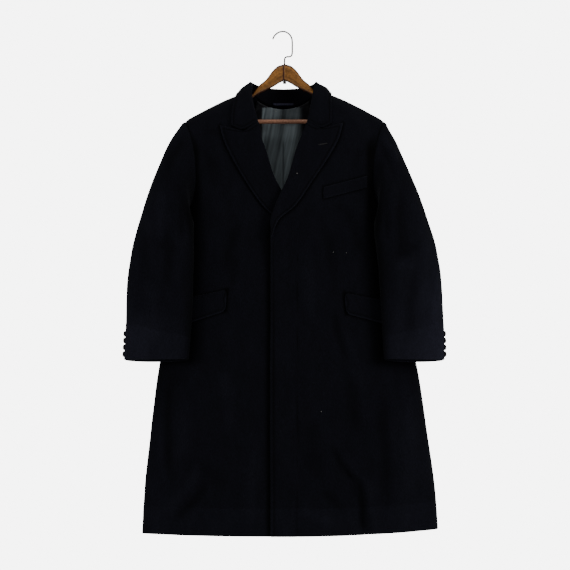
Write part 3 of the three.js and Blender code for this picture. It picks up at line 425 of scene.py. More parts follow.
def add_mesh(name, points, faces, finish, nodes=(), uv=None, marks=None):
    """Mesh object from points and a list of face arrays, each (n, corners). Faces are turned outwards by the
    sign of the enclosed volume; uv and marks (name: values) are given for each point."""
    verts = to_metres(points)
    volume = 0.0
    for f in faces:
        for k in range(1, f.shape[1] - 1):
            a, b, c = verts[f[:, 0]], verts[f[:, k]], verts[f[:, k + 1]]
            volume += float(np.einsum("ij,ij->i", a, np.cross(b, c)).sum())
    if volume < 0:
        faces = [f[:, ::-1] for f in faces]
    mesh = bpy.data.meshes.new(name)
    mesh.vertices.add(len(verts))
    mesh.vertices.foreach_set("co", verts.astype(np.float32).ravel())
    corners = np.concatenate([f.ravel() for f in faces]).astype(np.int32)
    sizes = np.concatenate([np.full(len(f), f.shape[1]) for f in faces])
    starts = np.concatenate([[0], np.cumsum(sizes)[:-1]]).astype(np.int32)
    mesh.loops.add(len(corners))
    mesh.loops.foreach_set("vertex_index", corners)
    mesh.polygons.add(len(sizes))
    mesh.polygons.foreach_set("loop_start", starts)
    mesh.polygons.foreach_set("use_smooth", np.ones(len(sizes), bool))
    if uv is not None:
        layer = mesh.uv_layers.new(name="cloth")
        layer.data.foreach_set("uv", np.asarray(uv, np.float32).reshape(-1, 2)[corners].ravel())
    for key, values in (marks or {}).items():
        mark = mesh.attributes.new(key, "FLOAT", "POINT")
        mark.data.foreach_set("value", np.asarray(values, np.float32).ravel())
    mesh.update(calc_edges=True)
    mesh.validate()
    mesh.materials.append(finish)
    piece = bpy.data.objects.new("fine_" + name, mesh)
    bpy.context.scene.collection.objects.link(piece)
    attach(piece, BODY_NAME)
    if nodes:
        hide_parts(*nodes)
    return piece


def grid_faces(rows, columns, offset=0, wrap=False):
    """Quads of a grid of points, closed round its columns with wrap."""
    r, c = np.meshgrid(np.arange(rows - 1), np.arange(columns if wrap else columns - 1), indexing="ij")
    n = (c + 1) % columns
    low, high = r * columns, (r + 1) * columns
    return np.stack([low + c, low + n, high + n, high + c], axis=-1).reshape(-1, 4) + offset


def cloth_wall(name, outer, inner, finish, nodes=(), free=(), marks=None, sewn_on=()):
    """Closed wall between two grids. Round the border runs one more line of points, pushed out at the free
    edges (of "left", "right", "bottom", "top") so that they are rounded. sewn_on is not used."""
    rows, columns = outer.shape[:2]
    r = np.concatenate([np.zeros(columns - 1), np.arange(rows - 1), np.full(columns - 1, rows - 1),
                        np.arange(rows - 1, 0, -1)]).astype(int)
    c = np.concatenate([np.arange(columns - 1), np.full(rows - 1, columns - 1), np.arange(columns - 1, 0, -1),
                        np.zeros(rows - 1)]).astype(int)
    sides = np.array(["bottom"] * (columns - 1) + ["right"] * (rows - 1) + ["top"] * (columns - 1)
                     + ["left"] * (rows - 1))
    back_r = np.clip(r, 1, rows - 2)
    back_c = np.clip(c, 1, columns - 2)
    out = unit(outer[r, c] - outer[back_r, back_c])
    half = np.linalg.norm(outer[r, c] - inner[r, c], axis=1, keepdims=True) / 2
    push = np.isin(sides, list(free))[:, None] * 0.62
    rim = (outer[r, c] + inner[r, c]) / 2 + out * half * push
    count = rows * columns
    ring = np.arange(len(r))
    after = (ring + 1) % len(r)
    top, low, mid = r * columns + c, count + r * columns + c, 2 * count + ring
    faces = np.concatenate([
        grid_faces(rows, columns),
        grid_faces(rows, columns, count)[:, ::-1],
        np.stack([top[after], top, mid, mid[after]], axis=1),
        np.stack([mid[after], mid, low, low[after]], axis=1),
    ])
    points = np.concatenate([outer.reshape(-1, 3), inner.reshape(-1, 3), rim])
    across, along = run_lengths(outer, 1), run_lengths(outer, 0)
    uv = np.stack([across, along], axis=-1) * 0.001
    uv = np.concatenate([uv.reshape(-1, 2), uv.reshape(-1, 2), uv[r, c]])
    full = {k: np.concatenate([v.ravel(), v.ravel(), v[r, c]]) for k, v in (marks or {}).items()}
    piece = add_mesh(name, points, [faces], finish, nodes, uv, full)
    if sewn_on is None:
        return


def tube_points(path, radius, sides, up=(0.0, 1.0, 0.0)):
    """Rings round a path: each ring is square to the path, its first point on the side of up."""
    path = np.asarray(path, float)
    tangent = unit(np.gradient(path, axis=0))
    side = unit(np.cross(tangent, np.broadcast_to(up, path.shape)))
    lift = np.cross(side, tangent)
    a = np.linspace(0, 2 * np.pi, sides, endpoint=False)
    size = np.broadcast_to(np.asarray(radius, float), (len(path),))[:, None, None]
    return path[:, None, :] + size * (np.cos(a)[None, :, None] * side[:, None, :]
                                      + np.sin(a)[None, :, None] * lift[:, None, :])


def closed_tube(rings):
    """Faces of rings[row, side] with a fan at both ends, and points with the two end middles added."""
    rows, sides = rings.shape[:2]
    points = np.concatenate([rings.reshape(-1, 3), rings[0].mean(axis=0)[None], rings[-1].mean(axis=0)[None]])
    i = np.arange(sides)
    n = (i + 1) % sides
    first, last = rows * sides, rows * sides + 1
    fans = np.concatenate([
        np.stack([n, i, np.full(sides, first)], axis=1),
        np.stack([(rows - 1) * sides + i, (rows - 1) * sides + n, np.full(sides, last)], axis=1),
    ])
    return points, [grid_faces(rows, sides, wrap=True), fans]


def join(parts):
    """One list of points and faces out of several (points, faces)."""
    points, quads, fans, offset = [], [], [], 0
    for p, (q, f) in parts:
        points.append(p)
        quads.append(q + offset)
        fans.append(f + offset)
        offset += len(p)
    return np.concatenate(points), [np.concatenate(quads), np.concatenate(fans)]


# ---- The body's surface ----
def ridge_z(x, z):
    """Height of the shoulder seam above a place."""
    return read(RIDGE, np.abs(x - read(BODY, z)["middle"]))["z"]


def crease_sum(x, z, creases, strength):
    """Sum over creases of raise * fade(s) * exp(-(t / width)^2); s runs along the crease, t across it from
    its bowed middle line, and the fade takes a quarter of the length at both ends."""
    push = np.zeros(np.broadcast(x, z).shape)
    for x0, z0, x1, z1, bow, width, rise in creases:
        length = np.hypot(x1 - x0, z1 - z0)
        dx, dz = (x1 - x0) / length, (z1 - z0) / length
        s = ((x - x0) * dx + (z - z0) * dz) / length
        t = (z - z0) * dx - (x - x0) * dz - bow * 4 * s * (1 - s)
        fade = smooth((s + 0.12) / 0.4) * smooth((1.12 - s) / 0.4)
        push = push + strength * rise * fade * np.exp(-((t / width) ** 2))
    return push


def body_creases(x, z, face):
    """Sum of the creases of one face of the body."""
    creases = [c[1:] for c in CREASES if c[0] == face]
    return crease_sum(x, z, creases, bpy.context.scene.coat_sizes.crease_depth)


def fold_push(x, z, face):
    """Outward push of the large folds, which grow towards the hem, and of the creases."""
    push = np.zeros(np.broadcast(x, z).shape)
    for f, top_x, top_z, foot_x, foot_z, width, rise in FOLDS:
        if f == face:
            along = np.maximum((top_z - z) / (top_z - foot_z), 0)
            line = mix(top_x, foot_x, along)
            push = push + rise * smooth(along * 1.6) * np.exp(-(((x - line) / width) ** 2))
    return push + body_creases(x, z, face)


def surface_y(x, z, layer):
    """y of the coat: depth * oval * rounding, where the oval is (1 - |x|^2.4)^(1/2.4) of the half width and
    the rounding a quarter circle over the first 100 mm under the shoulder; the under front is pressed back
    where the over one lies on it, and the over front's edge stands off at the foot of its lapel."""
    x, z = np.broadcast_arrays(np.asarray(x, float), np.asarray(z, float))
    face = 1 if layer == "back" else -1
    level = read(BODY, z)
    across = np.minimum(1, np.abs(x - level["middle"]) / level["half"])
    oval = (1 - across**SQUARENESS) ** (1 / SQUARENESS)
    below = np.clip((ridge_z(x, z) - z) / SHOULDER_ROUND, 0, 1)
    rounding = np.sqrt(1 - (1 - below) ** 2)
    depth = level["front" if face < 0 else "back"] + fold_push(x, z, face)
    y = face * (depth * oval * rounding + SEAM_GAP / 2)
    if layer == "under":
        y = y + smooth((x + 130) / 92) * (7 + 9 * smooth((z + 590) / 80)) * smooth((-305 - z) / 88)
    if layer == "over":
        y = y - 5 * smooth((8 - x) / 40) * np.exp(-(((z + 545) / 85) ** 2))
    return y


def on_coat(x, z, layer):
    """Place on the coat's surface."""
    return stack(x, surface_y(x, z, layer), z)


def surface_normal(x, z, layer):
    """Outward direction, square to one short step on the surface towards the middle and one down."""
    here = on_coat(x, z, layer)
    inward = np.where(x > read(BODY, z)["middle"], -0.6, 0.6)
    side = on_coat(x + inward, z, layer) - here
    down = on_coat(x, z - 0.6, layer) - here
    normal = unit(np.cross(side, down))
    wrong = normal[..., 1:2] < 0 if layer == "back" else normal[..., 1:2] > 0
    return np.where(wrong, -normal, normal)


def raised(x, z, layer, height):
    """Place lifted off the coat, square to it."""
    return on_coat(x, z, layer) + surface_normal(x, z, layer) * np.asarray(height)[..., None]


def hem_z(x, layer):
    """The hem rises to the side seams, and the back hangs a little lower."""
    rise = np.where(x < 0, 7 * (x / 357) ** 2, 18 * (x / 384) ** 2)
    drop = 4 * np.maximum(0, 1 - np.abs(x) / 220) if layer == "back" else 0
    return HEM_Z + rise - drop


def inner_x(z, layer, side):
    """Inner edge of a piece of the body: a front's edge and its roll line, which lies further out on the
    under front, or the back seam with its vent."""
    closure = read(BODY, z)["closure"]
    if layer != "back":
        wider = UNDER_ROLL * smooth((z + 470) / 95) * smooth((-232 - z) / 48) if layer == "under" else 0
        return closure + side * (read(INNER_EDGE, z)["x"] + wider)
    vent = VENT_LAP * smooth((VENT_TOP_Z - z) / 14) if side < 0 else 0
    return closure + vent + side * SEAM_GAP / 2


def neck_point(side):
    """Where the shoulder seam meets the neck."""
    x = float(read(BODY, NECK_Z)["closure"]) + side * NECK_X
    return x, float(ridge_z(x, NECK_Z))


def nape_at(t, side):
    """Back neck seam, from the nape (0) to the neck point (1)."""
    x, z = neck_point(side)
    start = float(read(BODY, NAPE_Z)["closure"]) + side * SEAM_GAP / 2
    return mix(start, x, t), mix(NAPE_Z, z, t**2.2)


def armhole_place(angle, side, face):
    """Armhole seam: angle 0 at the shoulder tip, 180 at the armpit."""
    half = (TIP_Z - ARMPIT_Z) / 2
    z = ARMPIT_Z + half + half * np.cos(np.radians(angle))
    return side * read(ARMHOLE, z)[face], z


def panel_places(layer, side, columns, low, up):
    """x and z of a panel: rows from hem to armpit, then a patch between the armpit row, the inner edge, the
    armhole and the shoulder seam, as the sum of both pairs of edges less their corners."""
    def across(z, u):
        level = read(BODY, z)
        inset = side * (inner_x(z, layer, side) - level["middle"]) / level["half"]
        start = np.arcsin(np.clip(inset, -1, 1))
        return level["middle"] + side * level["half"] * np.sin(mix(start, np.pi / 2, u))

    u = columns[None, :]
    v = low[:, None]
    level = mix(HEM_Z, ARMPIT_Z, v)
    x = across(level, u)
    z = level + (hem_z(x, layer) - HEM_Z) * (1 - v)
    neck_x, neck_z = neck_point(side)

    def shoulder(t):
        sx = mix(neck_x, side * TIP_X, t)
        return sx, ridge_z(sx, mix(NECK_Z, TIP_Z, t))

    if layer == "back":
        nape_x, nape_z = nape_at(np.clip(u / NAPE_SHARE, 0, 1), side)
        tip_x, tip_z = shoulder(np.clip((u - NAPE_SHARE) / (1 - NAPE_SHARE), 0, 1))
        cap_x, cap_z = np.where(u < NAPE_SHARE, nape_x, tip_x), np.where(u < NAPE_SHARE, nape_z, tip_z)
    else:
        cap_x, cap_z = shoulder(u)
    face = "back" if layer == "back" else "front"
    w = up[1:, None]
    rise = 1 - (1 - w) ** 1.7
    left_z = mix(ARMPIT_Z, NAPE_Z if layer == "back" else neck_z, rise)
    left_x = inner_x(left_z, layer, side)
    right_x, right_z = armhole_place(180 * (1 - w), side, face)
    base_x, base_z = across(np.full((1, 1), ARMPIT_Z), u), np.full_like(u, ARMPIT_Z)

    def patch(base, cap, left, right, corner_low, corner_high):
        c00, c01, c10, c11 = corner_low[0], corner_low[1], corner_high[0], corner_high[1]
        body = mix(base, cap, rise) + mix(left, right, u) - mix(mix(c00, c01, u), mix(c10, c11, u), rise)
        return np.where(w == 1, cap, body)

    arm_low, arm_high = armhole_place(180.0, side, face), armhole_place(0.0, side, face)
    in_low = float(inner_x(ARMPIT_Z, layer, side))
    up_x = patch(base_x, cap_x, left_x, right_x, (in_low, arm_low[0]), (cap_x[0, 0], arm_high[0]))
    up_z = patch(base_z, cap_z, left_z, right_z, (ARMPIT_Z, arm_low[1]), (cap_z[0, 0], arm_high[1]))
    return np.concatenate([x, up_x]), np.concatenate([z, up_z])


def painted_shade_beside_sleeve(x, z, side):
    """Painted shade, 0 to 1, on the body beside a sleeve's inner line, in a band that widens towards the
    cuff."""
    line = read(SLEEVE_LINE[side], z)["x"] - 2
    width = mix(9, 21, np.clip((-330 - z) / 480, 0, 1))
    gap = np.maximum(line - side * x, 0)
    return np.exp(-((gap / width) ** 2)) * smooth((-240 - z) / 60) * smooth((z + 840) / 24)


def painted_shadow_beside_line(x, z, line, band):
    """Painted shadow, up to the band's share, on cloth beside the edge of what lies on it."""
    line = list(line)
    share, near, width = band
    gap = np.full(np.shape(x), 1e3)
    for (x0, z0), (x1, z1) in zip(line[:-1], line[1:]):
        dx, dz = x1 - x0, z1 - z0
        s = np.clip(((x - x0) * dx + (z - z0) * dz) / (dx * dx + dz * dz), 0, 1)
        gap = np.minimum(gap, np.hypot(x - x0 - s * dx, z - z0 - s * dz))
    return share * np.exp(-((np.maximum(gap - near, 0) / width) ** 2))


def nap_waves(points, seed, size):
    """Slight unevenness of heavy cloth: a few long crossing sine waves, up to size."""
    rng = np.random.default_rng(seed)
    out = np.zeros(points.shape[:-1])
    for _ in range(9):
        k = rng.normal(size=3) * (1, 1, 0.6)
        k = k / np.linalg.norm(k) * 2 * np.pi / rng.uniform(28, 95)
        out = out + np.sin(points @ k + rng.uniform(0, 6.28)) / 9
    return size * 1.6 * out


def body_panel(name, layer, side, finish):
    """Front or back of the coat, from its places on the body's surface: seams sink, the hem's turned-up cloth
    stands out, and a front's free edge swells between its fold and its stitching."""
    sizes = bpy.context.scene.coat_sizes
    columns = np.union1d(edge_steps(84, 0.012), [NAPE_SHARE])
    turn_at = HEM_TURN / (ARMPIT_Z - HEM_Z)
    low = np.union1d(edge_steps(150, 0.0022), [turn_at - 0.0012, turn_at, turn_at + 0.0012])
    x, z = panel_places(layer, side, columns, low, np.linspace(0, 1, 74))
    base = on_coat(x, z, layer)
    if layer == "back" and side < 0:
        base[..., 1] -= 6 * smooth((VENT_TOP_Z + 110 - z) / 55) * smooth((x + 45) / 40)
    normal = surface_normal(x, z, layer)
    left, right, bottom, top = edge_distances(base)
    seams = [right, top] + ([left] if layer == "back" else [])
    valley = sum(np.exp(-((d / SEAM_VALLEY) ** 2)) for d in seams)
    out = -sizes.seam_depth * 1000 * np.minimum(valley, 1)
    turned = smooth((HEM_TURN + 1.5 - bottom) / 3)
    out = out + 0.55 * turned + nap_waves(base, 3 + 2 * side + len(layer), 0.5)
    face = 1 if layer == "back" else -1
    folded = body_creases(x, z, face)
    # Painted shade: darker wool in seam valleys and crease troughs; on a front also beside the sleeves,
    # outside the lapels' edges and round the pockets.
    painted_shade = np.maximum(0.6 * np.minimum(valley, 1), 0.55 * np.clip(-folded / 5 - 0.1, 0, 1))
    if layer != "back":
        painted_shade = np.maximum(painted_shade, painted_shade_beside_sleeve(x, z, side))
        row = read(LAPEL[layer], np.linspace(0.1, 1, 60))
        painted_shade = np.maximum(painted_shade, painted_shadow_beside_line(x, z, zip(row["edge_x"], row["edge_z"]), LAPEL_SHADOW_BAND))
        flap = FLAP[layer]
        for corners in [flap] + ([WELT] if layer == "over" else []):
            painted_shade = np.maximum(painted_shade, painted_shadow_beside_line(x, z, corners + corners[:1], PATCH_SHADOW_BAND))
        painted_shade = np.maximum(painted_shade, painted_shadow_beside_line(x, z, (flap[0], flap[3]), FLAP_END_SHADOW_BAND))
    # Painted shadow of the over front's edge on the under front.
    if layer == "under":
        edge = read(BODY, z)["closure"] + read(INNER_EDGE, z)["x"]
        painted_shade = np.maximum(painted_shade, np.exp(-((np.maximum(edge - x, 0) / 11) ** 2)) * smooth((-455 - z) / 30))
    if layer == "over":
        groove = np.exp(-(((left - SWELL_INSET) / 1.5) ** 2)) * smooth((-520 - z) / 8)
        fly = np.exp(-(((x - FLY_X) / 1.6) ** 2)) * smooth((-552 - z) / 10)
        swell = 0.5 * smooth((SWELL_INSET - left) / 2) * smooth((-500 - z) / 20)
        out = out + swell - 0.55 * groove - 0.45 * fly
        out = out + 0.7 * smooth((FLY_X - 1 - x) / 3) * smooth((-545 - z) / 30)
        # Painted shade in the stitched groove and along the fly's stitching.
        painted_shade = np.maximum(painted_shade, 0.7 * groove + 0.35 * fly)
    outer = base + normal * out[..., None]
    inner = base - normal * CLOTH
    inner[..., 1] = face * np.maximum(face * inner[..., 1], SEAM_GAP / 2)
    free = ("left", "bottom") if layer != "back" else ("bottom",)
    # The nap is lighter on the turned-up hem and the lower sides of the skirt; on crease ridges it is a
    # painted highlight.
    nap_lightness = 0.1 * turned + 0.11 * smooth((np.abs(x) - 200) / 120) * smooth((-820 - z) / 200)
    nap_lightness = nap_lightness + 0.14 * np.clip(folded / 4, 0, 1)
    cloth_wall(name, outer, inner, finish, [name], free, {"nap_lightness": nap_lightness, "painted_shade": painted_shade})
    return outer, normal


# ---- Sleeves ----
def clear_body(p, side, t):
    """Moves points of a folded sleeve out of the body's side, below the armpit."""
    level = read(BODY, p[..., 2])
    spare = 3.5 * smooth(t / 0.08)
    half = level["half"] + side * level["middle"] + spare
    depth = np.where(p[..., 1] < 0, level["front"], level["back"]) + spare
    inside = (np.maximum(0, p[..., 0]) / half) ** SQUARENESS + (np.abs(p[..., 1]) / depth) ** SQUARENESS
    inside = np.maximum(inside, 1e-6)
    push = mix(1, inside ** (-1 / SQUARENESS), smooth((-395 - p[..., 2]) / 50))
    push = np.where(inside < 1, push, 1)
    return p * stack(push, push, np.ones_like(push))


def sleeve_point(t, angle, side):
    """Point on a sleeve ring: t from armhole to cuff, angle from the outer end round the front. Near the
    armhole the ring passes over into the seam on the body."""
    t, angle = np.broadcast_arrays(np.asarray(t, float), np.asarray(angle, float))
    ring = read(SLEEVE, t)
    turned = np.mod(angle, 360)
    c, s = np.cos(np.radians(turned)), np.sin(np.radians(turned))
    out_x = ring["out_over" if side > 0 else "out_under"]
    front_x = ring["in_over" if side > 0 else "in_under"]
    in_x = mix(front_x, np.maximum(front_x, ring["back"]), smooth(-s * 2.5))
    outer, inner = stack(out_x, ring["out_y"], ring["out_z"]), stack(in_x, ring["in_y"], ring["in_z"])
    along = (outer - inner) / 2
    across = np.broadcast_to([0.0, -1.0, 0.0], along.shape)
    dot = (across * along).sum(-1, keepdims=True) / (along * along).sum(-1, keepdims=True)
    across = unit(across - along * dot)
    p = (outer + inner) / 2 + along * c[..., None] + across * (ring["thick"] * s)[..., None]
    p[..., 2] += np.where(s < 0, 7 * s * smooth((t - 0.85) / 0.15), 0)
    fold = np.where(turned > 180, 360 - turned, turned)
    front_seam, z = armhole_place(fold, 1, "front")
    back_seam, _ = armhole_place(fold, 1, "back")
    seam_x = np.where(s < 0, back_seam, front_seam)
    front_y = surface_y(side * seam_x, z, "over" if side > 0 else "under")
    y = np.where(s < 0, surface_y(side * seam_x, z, "back"), front_y)
    y = np.where(np.abs(s) > 1e-6, y, 0)
    start = stack(seam_x + SEAM_GAP * 2, y, z + SEAM_GAP * 2 * smooth((-c - 0.5) * 2))
    start = mix(start, p, smooth(t / 0.16)[..., None])
    start = clear_body(start, side, t)
    return start * (side, 1, 1)


def sleeve_frame(t, angle, side):
    """Outward direction of a sleeve, and the direction round it."""
    t, angle = np.broadcast_arrays(np.asarray(t, float), np.asarray(angle, float))
    low, high = np.maximum(0, t - 0.01), np.minimum(1, t + 0.01)
    round_it = sleeve_point(t, angle + 2, side) - sleeve_point(t, angle - 2, side)
    down = sleeve_point(high, angle, side) - sleeve_point(low, angle, side)
    return unit(np.cross(round_it, down)) * side, unit(round_it)


def sleeve_piece(name, which, side, finish):
    """Top or under sleeve between its two seams, with creases over the elbow and a turned-up end."""
    sizes = bpy.context.scene.coat_sizes
    share = edge_steps(140, 0.003)
    share = np.union1d(share, (np.array([-0.002, 0, 0.002]) + CUFF_TURN) ** 0.8)
    t = (share**1.25)[:, None]
    u = edge_steps(70 if which == "top" else 60, 0.012)[None, :]
    hind = mix(SLEEVE_SEAMS["hind_top"], SLEEVE_SEAMS["hind_cuff"], t)
    fore = mix(SLEEVE_SEAMS["fore_top"], SLEEVE_SEAMS["fore_cuff"], smooth(t * 2.6))
    start, end = (hind, fore) if which == "top" else (fore, hind + 360)
    angle = mix(start, end, u)
    t = np.broadcast_to(t, angle.shape)
    p = sleeve_point(t, angle, side)
    normal, round_it = sleeve_frame(t, angle, side)
    turn = np.mod(angle[0], 360)
    fold = np.where(turn > 180, 360 - turn, turn)
    seam_f, seam_z = armhole_place(fold, side, "front")
    seam_b, _ = armhole_place(fold, side, "back")
    n_front = surface_normal(seam_f, seam_z, "over" if side > 0 else "under")
    n_back = surface_normal(seam_b, seam_z, "back")
    seam_n = np.where((turn > 180)[:, None], n_back, n_front)
    blend = smooth(t / 0.02)[..., None]
    normal = unit(mix(seam_n[None], normal, blend))
    p[:, 0] += round_it[:, 0] * SEAM_GAP / 2
    p[:, -1] -= round_it[:, -1] * SEAM_GAP / 2
    left, right, top, _ = edge_distances(p)
    valley = sum(np.exp(-((d / SEAM_VALLEY) ** 2)) for d in (left, right, top))
    flat = np.where(angle > 330, angle - 360, angle)
    creases = [(SLEEVE_LENGTH * t0, SLEEVE_ROUND * a0, SLEEVE_LENGTH * t1, SLEEVE_ROUND * a1, *rest)
               for s, t0, a0, t1, a1, *rest in SLEEVE_CREASES if s == side]
    folded = crease_sum(SLEEVE_LENGTH * t, SLEEVE_ROUND * flat, creases, sizes.crease_depth)
    folded = folded * smooth(t / 0.05)
    folded = folded * smooth((left + 6) / 20) * smooth((right + 6) / 20)
    turned = smooth((t - CUFF_TURN) / 0.004)
    out = folded + 0.5 * turned + nap_waves(p, 20 + side + len(which), 0.5)
    out = out - sizes.seam_depth * 1000 * np.minimum(valley, 1)
    head = 1.3 * np.exp(-(((top - 9) / 7) ** 2)) * smooth((np.cos(np.radians(angle)) + 0.2) / 0.6)
    outer = p + normal * (out + head)[..., None]
    inner = p - normal * CLOTH
    # Painted shade on the sleeve's inner side, where it faces the body, and in its seams and crease troughs.
    high = 1 - smooth((t - 0.2) / 0.16)
    inward = (np.mod(angle, 360) - mix(182, 160, high)) / mix(36, 54, high)
    inward = np.exp(-(inward**2)) * smooth((t + 0.02) / 0.06)
    painted_shade = np.maximum(0.6 * np.minimum(valley, 1), mix(0.9, 0.97, high) * inward)
    painted_shade = np.maximum(painted_shade, 0.4 * np.clip(-folded / 4, 0, 1))
    # Painted light: the sleeve's outer side is made lighter, more so towards the cuff, partly wear; the left
    # sleeve's outermost line near the cuff and the crease ridges get painted highlight.
    painted_light_outer_side = 0.35 + 0.65 * smooth((np.cos(np.radians(angle)) + 0.3) / 1.2)
    if side > 0:
        worn_and_highlit = 0.9 * smooth((t - 0.45) / 0.6)
    else:
        worn_and_highlit = 0.2 * smooth((t - 0.3) / 0.2) + 0.42 * smooth((t - 0.8) / 0.15)
        worn_and_highlit = worn_and_highlit + 0.35 * smooth((np.cos(np.radians(angle)) - 0.88) / 0.1) * smooth((t - 0.76) / 0.15)
    nap_lightness = np.minimum(0.12 * turned + painted_light_outer_side * worn_and_highlit + 0.14 * np.clip(folded / 3, 0, 1), 1)
    marks = {"nap_lightness": nap_lightness, "painted_shade": painted_shade}
    cloth_wall(name, outer, inner, finish, [name], ("top",), marks)


# ---- Lapels and collar ----
def lapel_grid(layer, rows, falls, depth):
    """Half turn round the roll line, smaller by depth, then the fall on the front: from 8 mm down to the
    collar's cloth and its gap, with 2 mm of crown between. The top edge dips to the notch."""
    side = 1 if layer == "over" else -1
    row = read(LAPEL[layer], rows)
    roll_x = inner_x(row["roll_z"], layer, side)
    dx, dz = row["edge_x"] - roll_x, row["edge_z"] - row["roll_z"]
    width = np.hypot(dx, dz)
    notch_share = (NOTCH[layer][0] - roll_x) / dx
    fall = mix(row["roll_z"], row["edge_z"], notch_share) - NOTCH[layer][1]
    a = np.radians(np.linspace(-90, -268, ROLL_COLUMNS))
    radius = ROLL_RADIUS - depth
    turn_d, turn_h = radius * np.cos(a) - 0.9, ROLL_LIFT + radius * np.sin(a)
    d = np.concatenate([np.broadcast_to(turn_d, (len(rows), len(a))), width[:, None] * falls], axis=1)
    fall_h = mix(8, COLLAR_CLOTH + TURNED_GAP, smooth(falls)) + 2 * np.sin(np.pi * falls) - depth
    h = np.broadcast_to(np.concatenate([turn_h, fall_h]), d.shape)
    share = np.clip(d / width[:, None], 0, 1)
    n = notch_share[:, None]
    dip = np.maximum(0, np.where(share < n, share / n, (1 - share) / (1 - n)))
    x = roll_x[:, None] + (dx / width)[:, None] * d
    z = row["roll_z"][:, None] + (dz / width)[:, None] * d
    z = z - fall[:, None] * dip * smooth((rows[:, None] - 0.55) / 0.45)
    return stack(x, surface_y(x, z, layer) - h, z)


def lapel_piece(layer, finish):
    """Lapel with a swelled edge: the cloth sinks along its stitching, a little inside the edge."""
    side = 1 if layer == "over" else -1
    rows = np.union1d(edge_steps(84, 0.004), [1 / 7])
    row = read(LAPEL[layer], 1.0)
    roll_x = float(inner_x(row["roll_z"], layer, side))
    notch = (NOTCH[layer][0] - roll_x) / (float(row["edge_x"]) - roll_x)
    falls = np.union1d(edge_steps(46, 0.008)[1:], [notch])
    outer = lapel_grid(layer, rows, falls, 0)
    inner = lapel_grid(layer, rows, falls, COLLAR_CLOTH - 0.5)
    normal = unit(outer - inner)
    _, right, _, top = edge_distances(outer)
    edge = np.minimum(right, top + 1e3 * (np.arange(outer.shape[1]) <= ROLL_COLUMNS))
    groove = np.exp(-(((edge - SWELL_INSET) / 1.6) ** 2))
    out = -0.5 * groove + nap_waves(outer, 40 + side, 0.35) - 0.4 * np.exp(-((right / 1.2) ** 2))
    out = out * smooth(np.arange(outer.shape[1]) / 20)
    outer = outer + normal * out[..., None]
    name = "lapel_" + layer
    # Painted shade in the stitched groove; the nap is lighter along the outer edge.
    cloth_wall(name, outer, inner, finish, [name], ("right", "top", "bottom"),
               {"nap_lightness": 0.3 * np.exp(-((right / 2.6) ** 2)), "painted_shade": 0.75 * groove})
    return outer, normal


def neck_seam(t, side):
    """Neck seam on the coat: 0 nape, 1 neck point, 2 gorge. Returns points and outward directions."""
    x_b, z_b = nape_at(np.clip(t, 0, 1), side)
    z_f = mix(neck_point(side)[1], -226.0, np.clip(t - 1, 0, 1))
    layer = "over" if side > 0 else "under"
    x_f = inner_x(z_f, layer, side)
    back = (t <= 1)[:, None]
    return (np.where(back, on_coat(x_b, z_b, "back"), on_coat(x_f, z_f, layer)),
            np.where(back, surface_normal(x_b, z_b, "back"), surface_normal(x_f, z_f, layer)))


def round_shoulder(x, turn, side, height):
    """Place round the shoulder: angle 0 on its seam, 90 at full depth, back positive."""
    z = ridge_z(x, -160.0) - SHOULDER_ROUND * (1 - np.cos(np.radians(turn)))
    layer = "over" if side > 0 else "under"
    return np.where((turn > 0)[:, None], raised(x, z, "back", height), raised(x, z, layer, height))


def collar_sections(at, side, hidden):
    """Seven points of each collar section, from the neck seam up the stand, over the fold and down the
    fall."""
    row = read(COLLAR, at)
    lean = np.radians(row["lean"])
    out = stack(side * np.sin(lean), np.cos(lean), np.zeros_like(lean))
    if side < 0:
        spread = 6 * np.exp(-(((at - 4.3) / 1.1) ** 2))
    else:
        spread = 2 * np.exp(-(((at - 5) / 0.8) ** 2)) - 5 * np.exp(-(((at - 3) / 0.6) ** 2))
    puff = np.exp(-(((at - 3) / 0.75) ** 2))
    fold = stack(row["mid"] + side * (row["fold_x"] + spread), row["fold_y"], row["fold_z"] + 3.5 * puff)
    seam, normal = neck_seam(row["seam"], side)
    ahead, _ = neck_seam(np.minimum(2, row["seam"] + 0.02), side)
    behind, _ = neck_seam(np.maximum(0, row["seam"] - 0.02), side)
    to_neck = unit(np.cross(unit(ahead - behind), normal)) * side
    depth = COLLAR_CLOTH if hidden else 0.0
    start = seam + to_neck * 1.5 + normal * (depth - CLOTH)
    stand = fold - seam
    up = unit(stand - out * (stand * out).sum(-1, keepdims=True))
    wide = row["more"] if side < 0 else 0
    over = round_shoulder(row["mid"] + side * (row["over_x"] + wide * 0.6 - 2 * puff), row["over_turn"], side,
                          COLLAR_CLOTH + 4 - depth + 6.5 * puff)
    edge = round_shoulder(row["mid"] + side * (row["edge_x"] + wide), row["edge_turn"], side,
                          COLLAR_CLOTH + TURNED_GAP - depth)
    near = [(-0.5, -6), (0.4, -4.2), (1.3, -6)] if hidden else [(-4.5, -5), (0, 0), (6.3, -4.4)]
    bend = [fold + out * o + up * v for o, v in near]
    return np.stack([start, (start + bend[0]) / 2, *bend, over, edge], axis=1)


def collar_grid(hidden, stations, shares):
    """Collar from one end round the neck to the other: centripetal curves through each section's points."""
    under, over = stations[stations < 0], stations[stations >= 0]
    sections = np.concatenate([collar_sections(-under, -1, hidden), collar_sections(over, 1, hidden)])
    return catmull(sections, shares)


